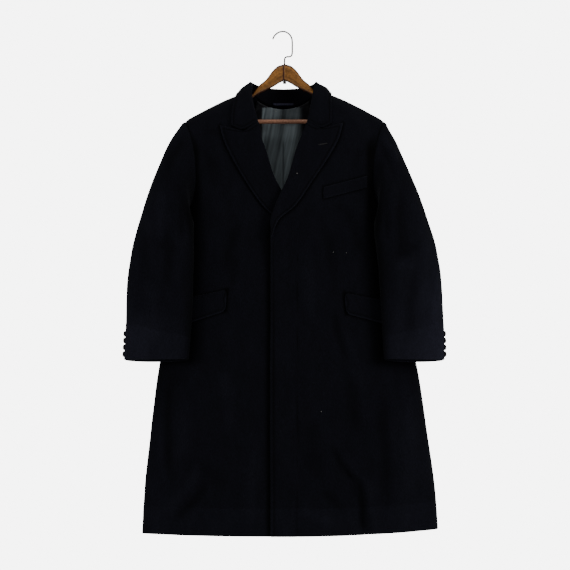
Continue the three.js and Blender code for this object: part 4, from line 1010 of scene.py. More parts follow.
def collar_piece(finish):
    """Collar with a swelled edge along its fall and its two ends."""
    half = np.linspace(0, 6, 78)
    ends = [5.97, 5.99]
    stations = np.union1d(np.union1d(-half, half), np.array(ends + [-e for e in ends]))
    shares = np.concatenate([np.linspace(0, 0.985, 54), [0.99, 0.995, 1.0]])
    outer, inner = collar_grid(False, stations, shares), collar_grid(True, stations, shares)
    normal = unit(outer - inner)
    _, right, bottom, top = edge_distances(outer)
    on_fall = smooth((shares - 0.62) / 0.05)[None, :]
    edge = np.minimum(right, np.where(on_fall > 0.5, np.minimum(bottom, top), 1e3))
    groove = np.exp(-(((edge - SWELL_INSET) / 1.6) ** 2)) * on_fall
    out = -0.5 * groove + nap_waves(outer, 61, 0.3) * on_fall
    outer = outer + normal * out[..., None]
    # Painted shade in the stitched groove of the fall and ends.
    cloth_wall("collar", outer, inner, finish, ["collar"], ("right", "bottom", "top"),
               {"nap_lightness": np.zeros(outer.shape[:2]), "painted_shade": 0.75 * groove}, ["hang_loop"])
    return outer, normal


# ---- What lies on the fronts ----
def patch_grid(corners, layer, height, rows, columns, round_end):
    """Four-cornered piece on the front, raised by height; its inner corners are rounded by narrowing the
    height range near u = 0 along a quarter circle of radius round_end."""
    c = np.array(corners, float)
    u, v = columns[None, :], rows[:, None]
    length, tall = np.linalg.norm(c[1] - c[0]), np.linalg.norm(c[3] - c[0])
    near = np.clip(1 - u * length / round_end, 0, 1)
    keep = 1 - 2 * round_end / tall * (1 - np.sqrt(1 - near**2))
    v = 0.5 + (v - 0.5) * keep
    x = mix(mix(c[0, 0], c[1, 0], u), mix(c[3, 0], c[2, 0], u), v)
    z = mix(mix(c[0, 1], c[1, 1], u), mix(c[3, 1], c[2, 1], u), v)
    return raised(x, z, layer, height), surface_normal(x, z, layer)


def patch_piece(name, corners, layer, round_end, finish, swelled):
    """Flap or welt: a wall on the coat with rounded edges and, if swelled, a stitched groove round it."""
    rows, columns = edge_steps(18, 0.02), edge_steps(44, 0.008)
    outer, normal = patch_grid(corners, layer, PATCH_GAP + CLOTH, rows, columns, round_end)
    inner, _ = patch_grid(corners, layer, PATCH_GAP, rows, columns, round_end)
    left, right, bottom, top = edge_distances(outer)
    edge = np.minimum(left, np.minimum(bottom, top + (1e3 if swelled else 0)))
    groove = np.exp(-(((edge - SWELL_INSET) / 1.5) ** 2)) * swelled
    border = np.minimum(np.minimum(left, right), np.minimum(bottom, top))
    out = -0.45 * groove - 0.5 * np.exp(-((border / 1.3) ** 2))
    out = out + nap_waves(outer, 71 + len(name), 0.3)
    outer = outer + normal * out[..., None]
    # The nap is lighter along the edges; painted shade in the stitched groove.
    nap_lightness = (0.12 + 0.2 * swelled) * np.exp(-((edge / 2.4) ** 2))
    cloth_wall(name, outer, inner, finish, [name], ("left", "right", "bottom", "top"),
               {"nap_lightness": nap_lightness, "painted_shade": 0.75 * groove})
    return outer, normal


# ---- Materials ----
def nodes_of(name):
    """New material with its shader and a short way to add linked nodes."""
    material = bpy.data.materials.new(name)
    material.use_nodes = True
    tree = material.node_tree
    shader = tree.nodes["Principled BSDF"]

    def add(kind, inputs=None, **settings):
        node = tree.nodes.new(kind)
        for key, value in settings.items():
            setattr(node, key, value)
        for key, value in (inputs or {}).items():
            if isinstance(value, bpy.types.NodeSocket):
                tree.links.new(value, node.inputs[key])
            else:
                node.inputs[key].default_value = value
        return node

    def link(source, socket):
        tree.links.new(source, shader.inputs[socket])

    return material, shader, add, link


def blend(add, kind, share, first, second):
    """Colour of a mix node; share, first and second are sockets or constants."""
    node = add("ShaderNodeMix", data_type="RGBA", blend_type=kind)
    for place, value in ((0, share), (6, first), (7, second)):
        if isinstance(value, bpy.types.NodeSocket):
            node.id_data.links.new(value, node.inputs[place])
        else:
            node.inputs[place].default_value = value
    return node.outputs[2]


def ramp(add, value, first, second, low=0.0, high=1.0):
    """Colour that goes from first, where value is low, to second, where it is high."""
    node = add("ShaderNodeValToRGB", {"Fac": value})
    ends = node.color_ramp.elements
    ends[0].position, ends[1].position = low, high
    ends[0].color, ends[1].color = first, second
    return node.outputs["Color"]


def rgba(colour):
    """Colour with full cover."""
    return (colour[0], colour[1], colour[2], 1.0)


def tint(colour, factor):
    """Colour lightened or darkened by a factor."""
    return (colour[0] * factor, colour[1] * factor, colour[2] * factor, 1.0)


def wool(name="black_wool", grey=1.0):
    """Milled black wool: soft felted nap with quiet streaks. Its nap lightness mark mixes in a lighter copy
    of the nap, partly wear and partly painted highlight, and its painted shade mark turns it almost black
    where shade would fall."""
    if name in bpy.data.materials:
        return bpy.data.materials[name]
    colours = bpy.context.scene.coat_colours
    sizes = bpy.context.scene.coat_sizes
    # grey above 1 gives a lighter copy of the whole wool, which is painted light.
    base = tuple(grey * c for c in colours.wool)
    material, shader, add, link = nodes_of(name)
    place = add("ShaderNodeTexCoord").outputs["Object"]
    stretch = add("ShaderNodeMapping", {"Vector": place, "Scale": (1.0, 1.0, 0.42)}).outputs["Vector"]
    fibre = add("ShaderNodeTexNoise", {"Vector": stretch, "Scale": 1 / sizes.nap_size, "Detail": 4.0,
                                       "Roughness": 0.62})
    nap_lightness = add("ShaderNodeTexNoise", {"Vector": stretch, "Scale": 34.0, "Detail": 5.0, "Roughness": 0.6})
    cloudy = add("ShaderNodeTexNoise", {"Vector": place, "Scale": 7.0, "Detail": 3.0, "Roughness": 0.5})
    nap_lightness_mark = add("ShaderNodeAttribute", attribute_name="nap_lightness")
    painted_shade_mark = add("ShaderNodeAttribute", attribute_name="painted_shade")
    streaks = ramp(add, nap_lightness.outputs["Fac"], tint(base, 0.86), tint(base, 1.16), 0.32, 0.7)
    speck = ramp(add, fibre.outputs["Fac"], (0.6, 0.6, 0.6, 1), (1.35, 1.35, 1.4, 1), 0.36, 0.68)
    shade = ramp(add, cloudy.outputs["Fac"], (0.92, 0.92, 0.94, 1), (1.08, 1.08, 1.06, 1))
    nap = blend(add, "MULTIPLY", 1.0, streaks, speck)
    clouds = blend(add, "MULTIPLY", 1.0, nap, shade)
    # Lighter copy of the nap, mixed in by the nap lightness mark: wear and painted highlight.
    worn_and_highlit = blend(add, "MULTIPLY", 1.0, clouds, (3.5, 3.5, 3.5, 1))
    lightened_colour = blend(add, "MIX", nap_lightness_mark.outputs["Fac"], clouds, worn_and_highlit)
    # Painted shade: a tenth of the wool's colour, mixed in by the painted shade mark.
    black = blend(add, "MULTIPLY", 1.0, lightened_colour, (0.1, 0.1, 0.1, 1))
    link(blend(add, "MIX", painted_shade_mark.outputs["Fac"], lightened_colour, black), "Base Color")
    rough = add("ShaderNodeMapRange", {"Value": fibre.outputs["Fac"], "From Min": 0.3, "From Max": 0.7,
                                       "To Min": 0.86, "To Max": 1.0})
    link(rough.outputs["Result"], "Roughness")
    bump_fine = add("ShaderNodeBump", {"Strength": 0.5, "Distance": 0.0006, "Height": fibre.outputs["Fac"]})
    bump = add("ShaderNodeBump", {"Strength": 0.45, "Distance": 0.0016, "Height": nap_lightness.outputs["Fac"],
                                  "Normal": bump_fine.outputs["Normal"]})
    link(bump.outputs["Normal"], "Normal")
    shader.inputs["Specular IOR Level"].default_value = 0.04
    shader.inputs["Sheen Weight"].default_value = colours.wool_sheen
    shader.inputs["Sheen Roughness"].default_value = 0.5
    shader.inputs["Sheen Tint"].default_value = (0.62, 0.65, 0.75, 1)
    return material


def lining_cloth():
    """Grey satin lining: fine ribs down the cloth, soft streaks and a quiet shine, mixed to the wool's black
    by its painted shade mark where shade falls on it."""
    if "grey_satin" in bpy.data.materials:
        return bpy.data.materials["grey_satin"]
    colours = bpy.context.scene.coat_colours
    material, shader, add, link = nodes_of("grey_satin")
    uv = add("ShaderNodeUVMap", uv_map="cloth").outputs["UV"]
    streak = add("ShaderNodeMapping", {"Vector": uv, "Scale": (1.0, 0.05, 1.0)}).outputs["Vector"]
    soft = add("ShaderNodeTexNoise", {"Vector": streak, "Scale": 95.0, "Detail": 4.0})
    thread = add("ShaderNodeTexNoise", {"Vector": streak, "Scale": 1600.0, "Detail": 1.0})
    satin = ramp(add, soft.outputs["Fac"], tint(colours.lining, 0.5), tint(colours.lining, 1.4), 0.34, 0.68)
    painted_lining_shade = add("ShaderNodeAttribute", attribute_name="painted_lining_shade")
    link(blend(add, "MIX", painted_lining_shade.outputs["Fac"], satin, rgba(colours.wool)), "Base Color")
    bump = add("ShaderNodeBump", {"Strength": 0.35, "Distance": 0.0002, "Height": thread.outputs["Fac"]})
    wide = add("ShaderNodeBump", {"Strength": 0.5, "Distance": 0.0008, "Height": soft.outputs["Fac"],
                                  "Normal": bump.outputs["Normal"]})
    link(wide.outputs["Normal"], "Normal")
    shader.inputs["Roughness"].default_value = 0.5
    shader.inputs["Specular IOR Level"].default_value = 0.12
    shader.inputs["Anisotropic"].default_value = 0.4
    return material


def horn():
    """Black horn button: cloudy streaks under a half gloss."""
    if "black_horn" in bpy.data.materials:
        return bpy.data.materials["black_horn"]
    colours = bpy.context.scene.coat_colours
    material, _, add, link = nodes_of("black_horn")
    place = add("ShaderNodeTexCoord").outputs["Object"]
    cloud = add("ShaderNodeTexNoise", {"Vector": place, "Scale": 260.0, "Detail": 4.0, "Distortion": 1.6})
    clouds = ramp(add, cloud.outputs["Fac"], rgba(colours.horn), tint(colours.horn, 4.0), 0.4, 0.75)
    link(clouds, "Base Color")
    rough = add("ShaderNodeMapRange", {"Value": cloud.outputs["Fac"], "To Min": 0.2, "To Max": 0.42})
    link(rough.outputs["Result"], "Roughness")
    return material


def thread_finish(name, colour, shine):
    """Twisted sewing thread."""
    if name in bpy.data.materials:
        return bpy.data.materials[name]
    material, shader, add, link = nodes_of(name)
    place = add("ShaderNodeTexCoord").outputs["Object"]
    twist = add("ShaderNodeTexNoise", {"Vector": place, "Scale": 1800.0, "Detail": 2.0})
    link(ramp(add, twist.outputs["Fac"], tint(colour, 0.7), tint(colour, 1.3)), "Base Color")
    bump = add("ShaderNodeBump", {"Strength": 0.4, "Distance": 0.0002, "Height": twist.outputs["Fac"]})
    link(bump.outputs["Normal"], "Normal")
    shader.inputs["Roughness"].default_value = shine
    shader.inputs["Specular IOR Level"].default_value = 0.06
    return material


def wood(name, light, dark, gloss):
    """Lacquered wood: long grain lines that run with the piece, mottled, under a thin clear coat; where the
    edge mark is, it is stained dark at the joint and darker along the top and bottom faces, painted shade on
    the lower one."""
    if name in bpy.data.materials:
        return bpy.data.materials[name]
    material, shader, add, link = nodes_of(name)
    uv = add("ShaderNodeUVMap", uv_map="cloth").outputs["UV"]
    long_way = add("ShaderNodeMapping", {"Vector": uv, "Scale": (0.06, 1.0, 1.0)}).outputs["Vector"]
    warp = add("ShaderNodeTexNoise", {"Vector": long_way, "Scale": 60.0, "Detail": 4.0, "Distortion": 0.6})
    grain = add("ShaderNodeTexNoise", {"Vector": long_way, "Scale": 420.0, "Detail": 6.0, "Roughness": 0.7})
    both = add("ShaderNodeMath", {0: warp.outputs["Fac"], 1: grain.outputs["Fac"]}, operation="ADD")
    half = add("ShaderNodeMath", {0: both.outputs["Value"], 1: 0.5}, operation="MULTIPLY")
    lines = ramp(add, half.outputs["Value"], rgba(dark), rgba(light), 0.38, 0.62)
    edge = add("ShaderNodeAttribute", attribute_name="edge")
    stain_and_shade = blend(add, "MULTIPLY", 1.0, lines, (0.18, 0.084, 0.072, 1))
    place = add("ShaderNodeTexCoord").outputs["Object"]
    mottle = add("ShaderNodeTexNoise", {"Vector": place, "Scale": 230.0, "Detail": 3.0})
    patch = ramp(add, mottle.outputs["Fac"], (0.74, 0.72, 0.68, 1), (1.3, 1.3, 1.3, 1), 0.36, 0.66)
    mottled = blend(add, "MULTIPLY", 1.0, lines, patch)
    link(blend(add, "MIX", edge.outputs["Fac"], mottled, stain_and_shade), "Base Color")
    bump = add("ShaderNodeBump", {"Strength": 0.25, "Distance": 0.0004, "Height": grain.outputs["Fac"]})
    link(bump.outputs["Normal"], "Normal")
    rough = add("ShaderNodeMapRange", {"Value": grain.outputs["Fac"], "To Min": gloss,
                                       "To Max": gloss + 0.16})
    link(rough.outputs["Result"], "Roughness")
    shader.inputs["Specular IOR Level"].default_value = 0.28
    shader.inputs["Coat Weight"].default_value = 0.1
    shader.inputs["Coat Roughness"].default_value = 0.16
    return material


def wire_metal():
    """Plated steel wire with fine drawing marks and slightly dulled patches."""
    if "plated_wire" in bpy.data.materials:
        return bpy.data.materials["plated_wire"]
    colours = bpy.context.scene.coat_colours
    material, shader, add, link = nodes_of("plated_wire")
    place = add("ShaderNodeTexCoord").outputs["Object"]
    dull = add("ShaderNodeTexNoise", {"Vector": place, "Scale": 140.0, "Detail": 4.0})
    marks = add("ShaderNodeTexNoise", {"Vector": place, "Scale": 2400.0, "Detail": 1.0})
    link(ramp(add, dull.outputs["Fac"], tint(colours.steel, 0.8), rgba(colours.steel)), "Base Color")
    rough = add("ShaderNodeMapRange", {"Value": dull.outputs["Fac"], "To Min": 0.2, "To Max": 0.4})
    link(rough.outputs["Result"], "Roughness")
    bump = add("ShaderNodeBump", {"Strength": 0.15, "Distance": 0.0001, "Height": marks.outputs["Fac"]})
    link(bump.outputs["Normal"], "Normal")
    shader.inputs["Metallic"].default_value = 1.0
    return material


# ---- Stitching ----
SEWN = []  # lines to stitch: points and outward directions


def sew_line(points, normals, lift=0.12):
    """Keeps a line of places for the stitching operator."""
    SEWN.append((points + normals * lift, normals))


def inset_line(points, normals, distance, inset, start=0, stop=None):
    """Line at an inset from a grid's border: in each row, the place where the distance passes the inset."""
    rows = np.arange(points.shape[0])[start:stop]
    d, p, n = distance[rows], points[rows], normals[rows]
    far, count = d > inset, d.shape[1]
    if d[0, 0] < d[0, -1]:
        k = np.clip(np.argmax(far, axis=1), 1, count - 1)
        j = k - 1
    else:
        k = np.clip(count - 1 - np.argmax(far[:, ::-1], axis=1), 0, count - 2)
        j = k + 1
    i = np.arange(len(rows))
    f = ((inset - d[i, j]) / (d[i, k] - d[i, j]))[:, None]
    return mix(p[i, j], p[i, k], f), unit(mix(n[i, j], n[i, k], f))


def stitch_cloud(lines, pitch, length, radius):
    """Small arched capsules every pitch along the lines: five rings of six points, largest in the middle."""
    ring_x = np.array([-0.5, -0.32, 0, 0.32, 0.5]) * length
    ring_r = np.array([0.35, 0.9, 1.0, 0.9, 0.35]) * radius
    arch = np.array([-0.9, -0.15, 0.1, -0.15, -0.9]) * radius
    a = np.linspace(0, 2 * np.pi, 6, endpoint=False)
    local = np.stack(np.broadcast_arrays(ring_x[:, None], ring_r[:, None] * np.cos(a),
                                         arch[:, None] + ring_r[:, None] * np.sin(a)), axis=-1)
    template, (quads, fans) = closed_tube(local)
    parts = []
    for points, normals in lines:
        place, along, at, total = resample(points, pitch)
        up = unit(np.stack([np.interp(at, total, normals[:, k]) for k in range(3)], axis=1))
        side = unit(np.cross(along, up))
        basis = np.stack([along, side, np.cross(side, along)], axis=1)
        cloud = np.einsum("vk,skd->svd", template, basis) + place[:, None, :]
        count, size = cloud.shape[:2]
        shift = (np.arange(count) * size)[:, None, None]
        parts.append((cloud.reshape(-1, 3),
                      [(quads[None] + shift).reshape(-1, 4), (fans[None] + shift).reshape(-1, 3)]))
    return join(parts)


# ---- Sizes and colours a user may change ----
def length_property(name, description, default, low, high):
    """Length in metres."""
    return FloatProperty(name=name, description=description, default=default, min=low, max=high,
                         unit="LENGTH")


def colour_property(name, description, default):
    """Colour without cover."""
    return FloatVectorProperty(name=name, description=description, subtype="COLOR", size=3, min=0, max=1,
                               default=default)


class CoatSizes(bpy.types.PropertyGroup):
    """Sizes of the coat's finer form."""

    crease_depth: FloatProperty(name="Crease depth", description="Strength of the creases placed by hand",
                                default=1.35, min=0.0, max=2.0)
    seam_depth: length_property("Seam depth", "How far the cloth sinks at a seam", 0.0009, 0.0, 0.003)
    nap_size: length_property("Nap size", "Size of the wool's tufts", 0.0016, 0.0004, 0.01)
    stitch_pitch: length_property("Stitch pitch", "Distance from stitch to stitch", 0.0034, 0.001, 0.01)
    stitch_length: length_property("Stitch length", "Length of one stitch that shows", 0.0026, 0.001, 0.01)


class CoatColours(bpy.types.PropertyGroup):
    """Colours of the coat and its hanger."""

    wool: colour_property("Wool", "Black wool", (0.00255, 0.00265, 0.0043))
    wool_sheen: FloatProperty(name="Wool sheen", description="Light that the nap catches", default=0.022,
                              min=0, max=1)
    lining: colour_property("Lining", "Grey satin", (0.130, 0.156, 0.170))
    horn: colour_property("Buttons", "Black horn", (0.010, 0.009, 0.009))
    thread: colour_property("Thread", "Black thread", (0.0013, 0.0013, 0.0018))
    wood_light: colour_property("Wood, light", "Lighter grain of the hanger", (0.240, 0.102, 0.021))
    wood_dark: colour_property("Wood, dark", "Darker grain of the hanger", (0.084, 0.034, 0.006))
    bar_light: colour_property("Bar, light", "Lighter grain of the bar", (0.270, 0.130, 0.075))
    bar_dark: colour_property("Bar, dark", "Darker grain of the bar", (0.155, 0.066, 0.040))
    steel: colour_property("Wire", "Plated steel wire", (0.05, 0.043, 0.038))
    floor: colour_property("Floor", "Pale studio floor", (0.9, 0.9, 0.9))


# ---- Operators, one for each piece or group of like pieces ----
class COAT_OT_stage(bpy.types.Operator):
    """Pale floor, white surroundings, soft lights and the camera in front of the coat"""

    bl_idname = "coat.stage"
    bl_label = "Stage, lights and camera"

    def execute(self, context):
        camera = bpy.data.objects.new("front_camera", bpy.data.cameras.new("front_camera"))
        camera.data.sensor_width = FILM_WIDTH
        camera.data.lens = FILM_WIDTH * VIEW_DISTANCE / VIEW_WIDTH
        camera.location = VIEW_PLACE
        camera.rotation_euler = (np.pi / 2, 0, 0)
        context.scene.collection.objects.link(camera)
        context.scene.camera = camera
        material, shader, add, link = nodes_of("pale_floor")
        place = add("ShaderNodeTexCoord").outputs["Object"]
        cloud = add("ShaderNodeTexNoise", {"Vector": place, "Scale": 2.0, "Detail": 2.0})
        pale = context.scene.coat_colours.floor
        link(ramp(add, cloud.outputs["Fac"], tint(pale, 0.99), rgba(pale)), "Base Color")
        shader.inputs["Roughness"].default_value = 0.9
        mesh = bpy.data.meshes.new("pale_floor")
        corners = [(-FLOOR_REACH, -FLOOR_REACH), (FLOOR_REACH, -FLOOR_REACH), (FLOOR_REACH, FLOOR_BACK),
                   (-FLOOR_REACH, FLOOR_BACK)]
        mesh.from_pydata([(x, y, FLOOR_Z) for x, y in corners], [], [(0, 1, 2, 3)])
        mesh.materials.append(material)
        floor = bpy.data.objects.new("pale_floor", mesh)
        context.scene.collection.objects.link(floor)
        world = bpy.data.worlds.new("white_room")
        world.use_nodes = True
        tree = world.node_tree
        sky = tree.nodes["Background"]
        sky.inputs["Color"].default_value = (1, 1, 1, 1)
        towards = tree.nodes.new("ShaderNodeTexCoord")
        parts = tree.nodes.new("ShaderNodeSeparateXYZ")
        glow = tree.nodes.new("ShaderNodeMapRange")
        for key, value in (("From Min", 0.965), ("From Max", 0.99), ("To Min", WORLD_DIM),
                           ("To Max", WORLD_BRIGHT)):
            glow.inputs[key].default_value = value
        tree.links.new(towards.outputs["Generated"], parts.inputs[0])
        tree.links.new(parts.outputs["Y"], glow.inputs["Value"])
        tree.links.new(glow.outputs["Result"], sky.inputs["Strength"])
        context.scene.world = world
        for name, place, turn, size, power in LAMPS:
            lamp = bpy.data.lights.new(name, "AREA")
            lamp.size, lamp.energy = size, power
            lamp.color = (1.0, 0.985, 0.96)
            light = bpy.data.objects.new(name, lamp)
            light.location, light.rotation_euler = place, np.radians(turn)
            context.scene.collection.objects.link(light)
        return {"FINISHED"}


class COAT_OT_fronts(bpy.types.Operator):
    """Two fronts: the over one laps on the under one, with a swelled edge and the fly's stitching"""

    bl_idname = "coat.fronts"
    bl_label = "Fronts"

    def execute(self, context):
        outer, normal = body_panel("front_over", "over", 1, wool())
        left, _, _, _ = edge_distances(outer)
        low = int(np.sum(outer[:, 0, 2] < -516))
        line, up = inset_line(outer, normal, left, SWELL_INSET, 1, low)
        sew_line(line, up)
        z = np.linspace(FLY_FOOT_Z, FLY_TOP_Z, 300)
        sew_line(on_coat(FLY_X, z, "over"), surface_normal(FLY_X, z, "over"))
        body_panel("front_under", "under", -1, wool())
        return {"FINISHED"}


class COAT_OT_backs(bpy.types.Operator):
    """Two backs with a seam between them and a vent in the lower half"""

    bl_idname = "coat.backs"
    bl_label = "Backs"

    def execute(self, context):
        body_panel("back_over", "back", 1, wool())
        body_panel("back_under", "back", -1, wool())
        x = np.linspace(4.0, 34.0, 20)
        z = VENT_TOP_Z + 6 - (x - 4) * 0.8
        sew_line(on_coat(x, z, "back"), surface_normal(x, z, "back"))
        return {"FINISHED"}


class COAT_OT_sleeves(bpy.types.Operator):
    """Two-piece sleeves with turned-up ends"""

    bl_idname = "coat.sleeves"
    bl_label = "Sleeves"

    def execute(self, context):
        for suffix, side in (("over", 1), ("under", -1)):
            sleeve_piece("top_sleeve_" + suffix, "top", side, wool())
            sleeve_piece("under_sleeve_" + suffix, "under", side, wool())
        return {"FINISHED"}


class COAT_OT_lapels(bpy.types.Operator):
    """Peak lapels, stitched along their edges"""

    bl_idname = "coat.lapels"
    bl_label = "Lapels"

    def execute(self, context):
        for layer in ("over", "under"):
            outer, normal = lapel_piece(layer, wool())
            _, right, _, _ = edge_distances(outer)
            line, up = inset_line(outer, normal, right, SWELL_INSET, 8, -8)
            sew_line(line, up)
        return {"FINISHED"}


class COAT_OT_collar(bpy.types.Operator):
    """Collar round the neck, stitched along its edge"""

    bl_idname = "coat.collar"
    bl_label = "Collar"

    def execute(self, context):
        outer, normal = collar_piece(wool())
        _, right, _, _ = edge_distances(outer)
        line, up = inset_line(outer, normal, right, SWELL_INSET, 3, -3)
        sew_line(line, up)
        return {"FINISHED"}


class COAT_OT_hang_loop(bpy.types.Operator):
    """Loop of cloth across the inside of the collar's stand"""

    bl_idname = "coat.hang_loop"
    bl_label = "Hang loop"

    def execute(self, context):
        share = np.linspace(0, 1, 60)
        at = mix(-0.66, 0.66, share)
        sections = np.where((at < 0)[:, None, None], collar_sections(np.abs(at), -1, False),
                            collar_sections(np.abs(at), 1, False))
        start, towards = sections[:, 0], unit(sections[:, 1] - sections[:, 0])
        reach = np.linspace(3.4, 8.2, 9)[None, :] + 2.2 * np.sin(np.pi * share)[:, None]
        low = start[:, None, :] + towards[:, None, :] * reach[..., None]
        lift = (0.35 + 0.65 * np.sin(np.pi * share))[:, None]
        crown = 0.25 * np.cos(np.linspace(-1.4, 1.4, 9))[None, :]
        outer, inner = low.copy(), low.copy()
        outer[..., 1] -= 0.6 + 1.6 * lift + crown
        inner[..., 1] -= 0.6
        # Painted light: the loop lies in the collar's shade, so it gets a lighter copy of the wool, lightened
        # more by its mark.
        marks = {"nap_lightness": np.full(outer.shape[:2], 0.9), "painted_shade": np.zeros(outer.shape[:2])}
        cloth_wall("hang_loop", outer, inner, wool("loop_wool", 3.2), ["hang_loop"],
                   ("left", "right", "top", "bottom"), marks, None)
        return {"FINISHED"}


class COAT_OT_lining(bpy.types.Operator):
    """Grey lining of the back with its centre pleat, as far down as it shows"""

    bl_idname = "coat.lining"
    bl_label = "Lining"

    def execute(self, context):
        v, u = np.linspace(0, 1, 120)[:, None], np.linspace(0, 1, 150)[None, :]
        half = mix(LINING["low"], LINING["high"], v**0.7)
        x = float(read(BODY, NAPE_Z)["closure"]) + mix(-half, half, u)
        share = np.clip(np.abs(mix(-1, 1, u) * LINING["high"]) / NECK_X, 0, 1)
        top = nape_at(share, 1)[1] - 2.5
        pleat = LINING["pleat"] * np.exp(-(((x - LINING["pleat_x"]) / 6) ** 2)) * (1 - 0.6 * v)
        inset = 4 * (2 * u - 1) ** 2 * v**4
        ripple = 0.9 * np.sin(x / 5.2 + 2 * v) + 0.7 * np.sin(x / 2.9 + 5 * v) + 0.8 * np.sin(x / 8.3 - 3 * v)
        z = mix(LINING["bottom"], top, v)
        depth = CLOTH + 0.8 + pleat + inset
        outer = raised(x, z, "back", -depth)
        inner = raised(x, z, "back", -(depth + LINING_CLOTH + 0.9 + 0.45 * ripple * smooth((1 - v) * 6)))
        # Painted shade, mixed to the wool's black: at the sides under the lapels, on the upper right part
        # above the bar, in a line down the pleat and along the top under the collar.
        side = np.maximum(smooth((-54 - x) / 4), smooth((x - 22) / 26))
        side = np.maximum(side * smooth((z + 330) / 60), 0.45 * smooth((x + 12) / 7) * smooth((z + 236) / 10))
        line = 0.6 * np.exp(-(((x + 3.5) / 2.2) ** 2)) * smooth((-262 - z) / 25)
        side = np.maximum(np.maximum(side, line), smooth((z + 187) / 3))
        cloth_wall("back_lining", outer, inner, lining_cloth(), ["back_lining"],
                   marks={"painted_lining_shade": side})
        return {"FINISHED"}


class COAT_OT_pockets(bpy.types.Operator):
    """Slanted flaps of the side pockets and the chest pocket's welt"""

    bl_idname = "coat.pockets"
    bl_label = "Pockets"

    def execute(self, context):
        for layer in ("over", "under"):
            outer, normal = patch_piece("pocket_flap_" + layer, FLAP[layer], layer, 12.0, wool(), 1)
            _, _, bottom, _ = edge_distances(outer)
            line, up = inset_line(outer.swapaxes(0, 1), normal.swapaxes(0, 1), bottom.T, SWELL_INSET, 4, -4)
            sew_line(line, up)
        outer, normal = patch_piece("chest_welt", WELT, "over", 1.0, wool(), 0)
        for column in (3, -4):
            sew_line(outer[2:-2, column], normal[2:-2, column])
        return {"FINISHED"}


class COAT_OT_buttons(bpy.types.Operator):
    """Four horn buttons on the outer edge of each cuff, each with a rim, a dished middle and four holes"""

    bl_idname = "coat.buttons"
    bl_label = "Cuff buttons"

    def execute(self, context):
        radius, thick, hole = BUTTON["radius"], BUTTON["thick"], BUTTON["hole"]
        r = np.array([0, 0.08, 0.16, 0.22, 0.27, 0.32, 0.38, 0.46, 0.56, 0.66, 0.74, 0.82, 0.9, 0.96, 1.0])
        a = np.linspace(0, 2 * np.pi, 48, endpoint=False)
        rr, aa = np.meshgrid(r * radius, a, indexing="ij")
        x, y = rr * np.cos(aa), rr * np.sin(aa)
        rim = 0.55 * np.exp(-(((rr / radius - 0.82) / 0.1) ** 2)) - 0.9 * smooth((rr / radius - 0.9) / 0.1)
        holes = sum(np.exp(-(((x - hx) ** 2 + (y - hy) ** 2) / 0.62))
                    for hx in (-hole, hole) for hy in (-hole, hole))
        top = thick / 2 - 0.45 + rim - 1.5 * holes
        front = stack(x, y, top)
        back = stack(x[::-1] * 0.96, y[::-1] * 0.96, 0.25 * (rr[::-1] / radius) ** 4 - thick / 2)
        rings = np.concatenate([front[1:], back[:-1]])
        for suffix, side in (("over", 1), ("under", -1)):
            for i in range(BUTTON["count"]):
                t = BUTTON["first"] + i * BUTTON["pitch"]
                seat = sleeve_point(t, BUTTON["angle"], side)
                normal, _ = sleeve_frame(t, BUTTON["angle"], side)
                normal = normal.reshape(3)
                across = unit(np.cross(normal, (0.0, 0.0, 1.0)))
                basis = np.stack([across, np.cross(normal, across), normal])
                middle = seat.reshape(3) + normal * (thick / 2 + BUTTON["stand"])
                points, faces = closed_tube(rings)
                name = "cuff_button_%s_%d" % (suffix, i + 1)
                add_mesh(name, points @ basis + middle, faces, horn(), [name])
                for turn in (1, -1):
                    ends = np.array([(-hole, -hole * turn, thick / 2 - 0.2), (0, 0, thick / 2 + 0.15),
                                     (hole, hole * turn, thick / 2 - 0.2)])
                    path = catmull(ends, np.linspace(0, 1, 12)) @ basis + middle
                    SEWN.append((path, np.broadcast_to(normal, path.shape)))
        return {"FINISHED"}


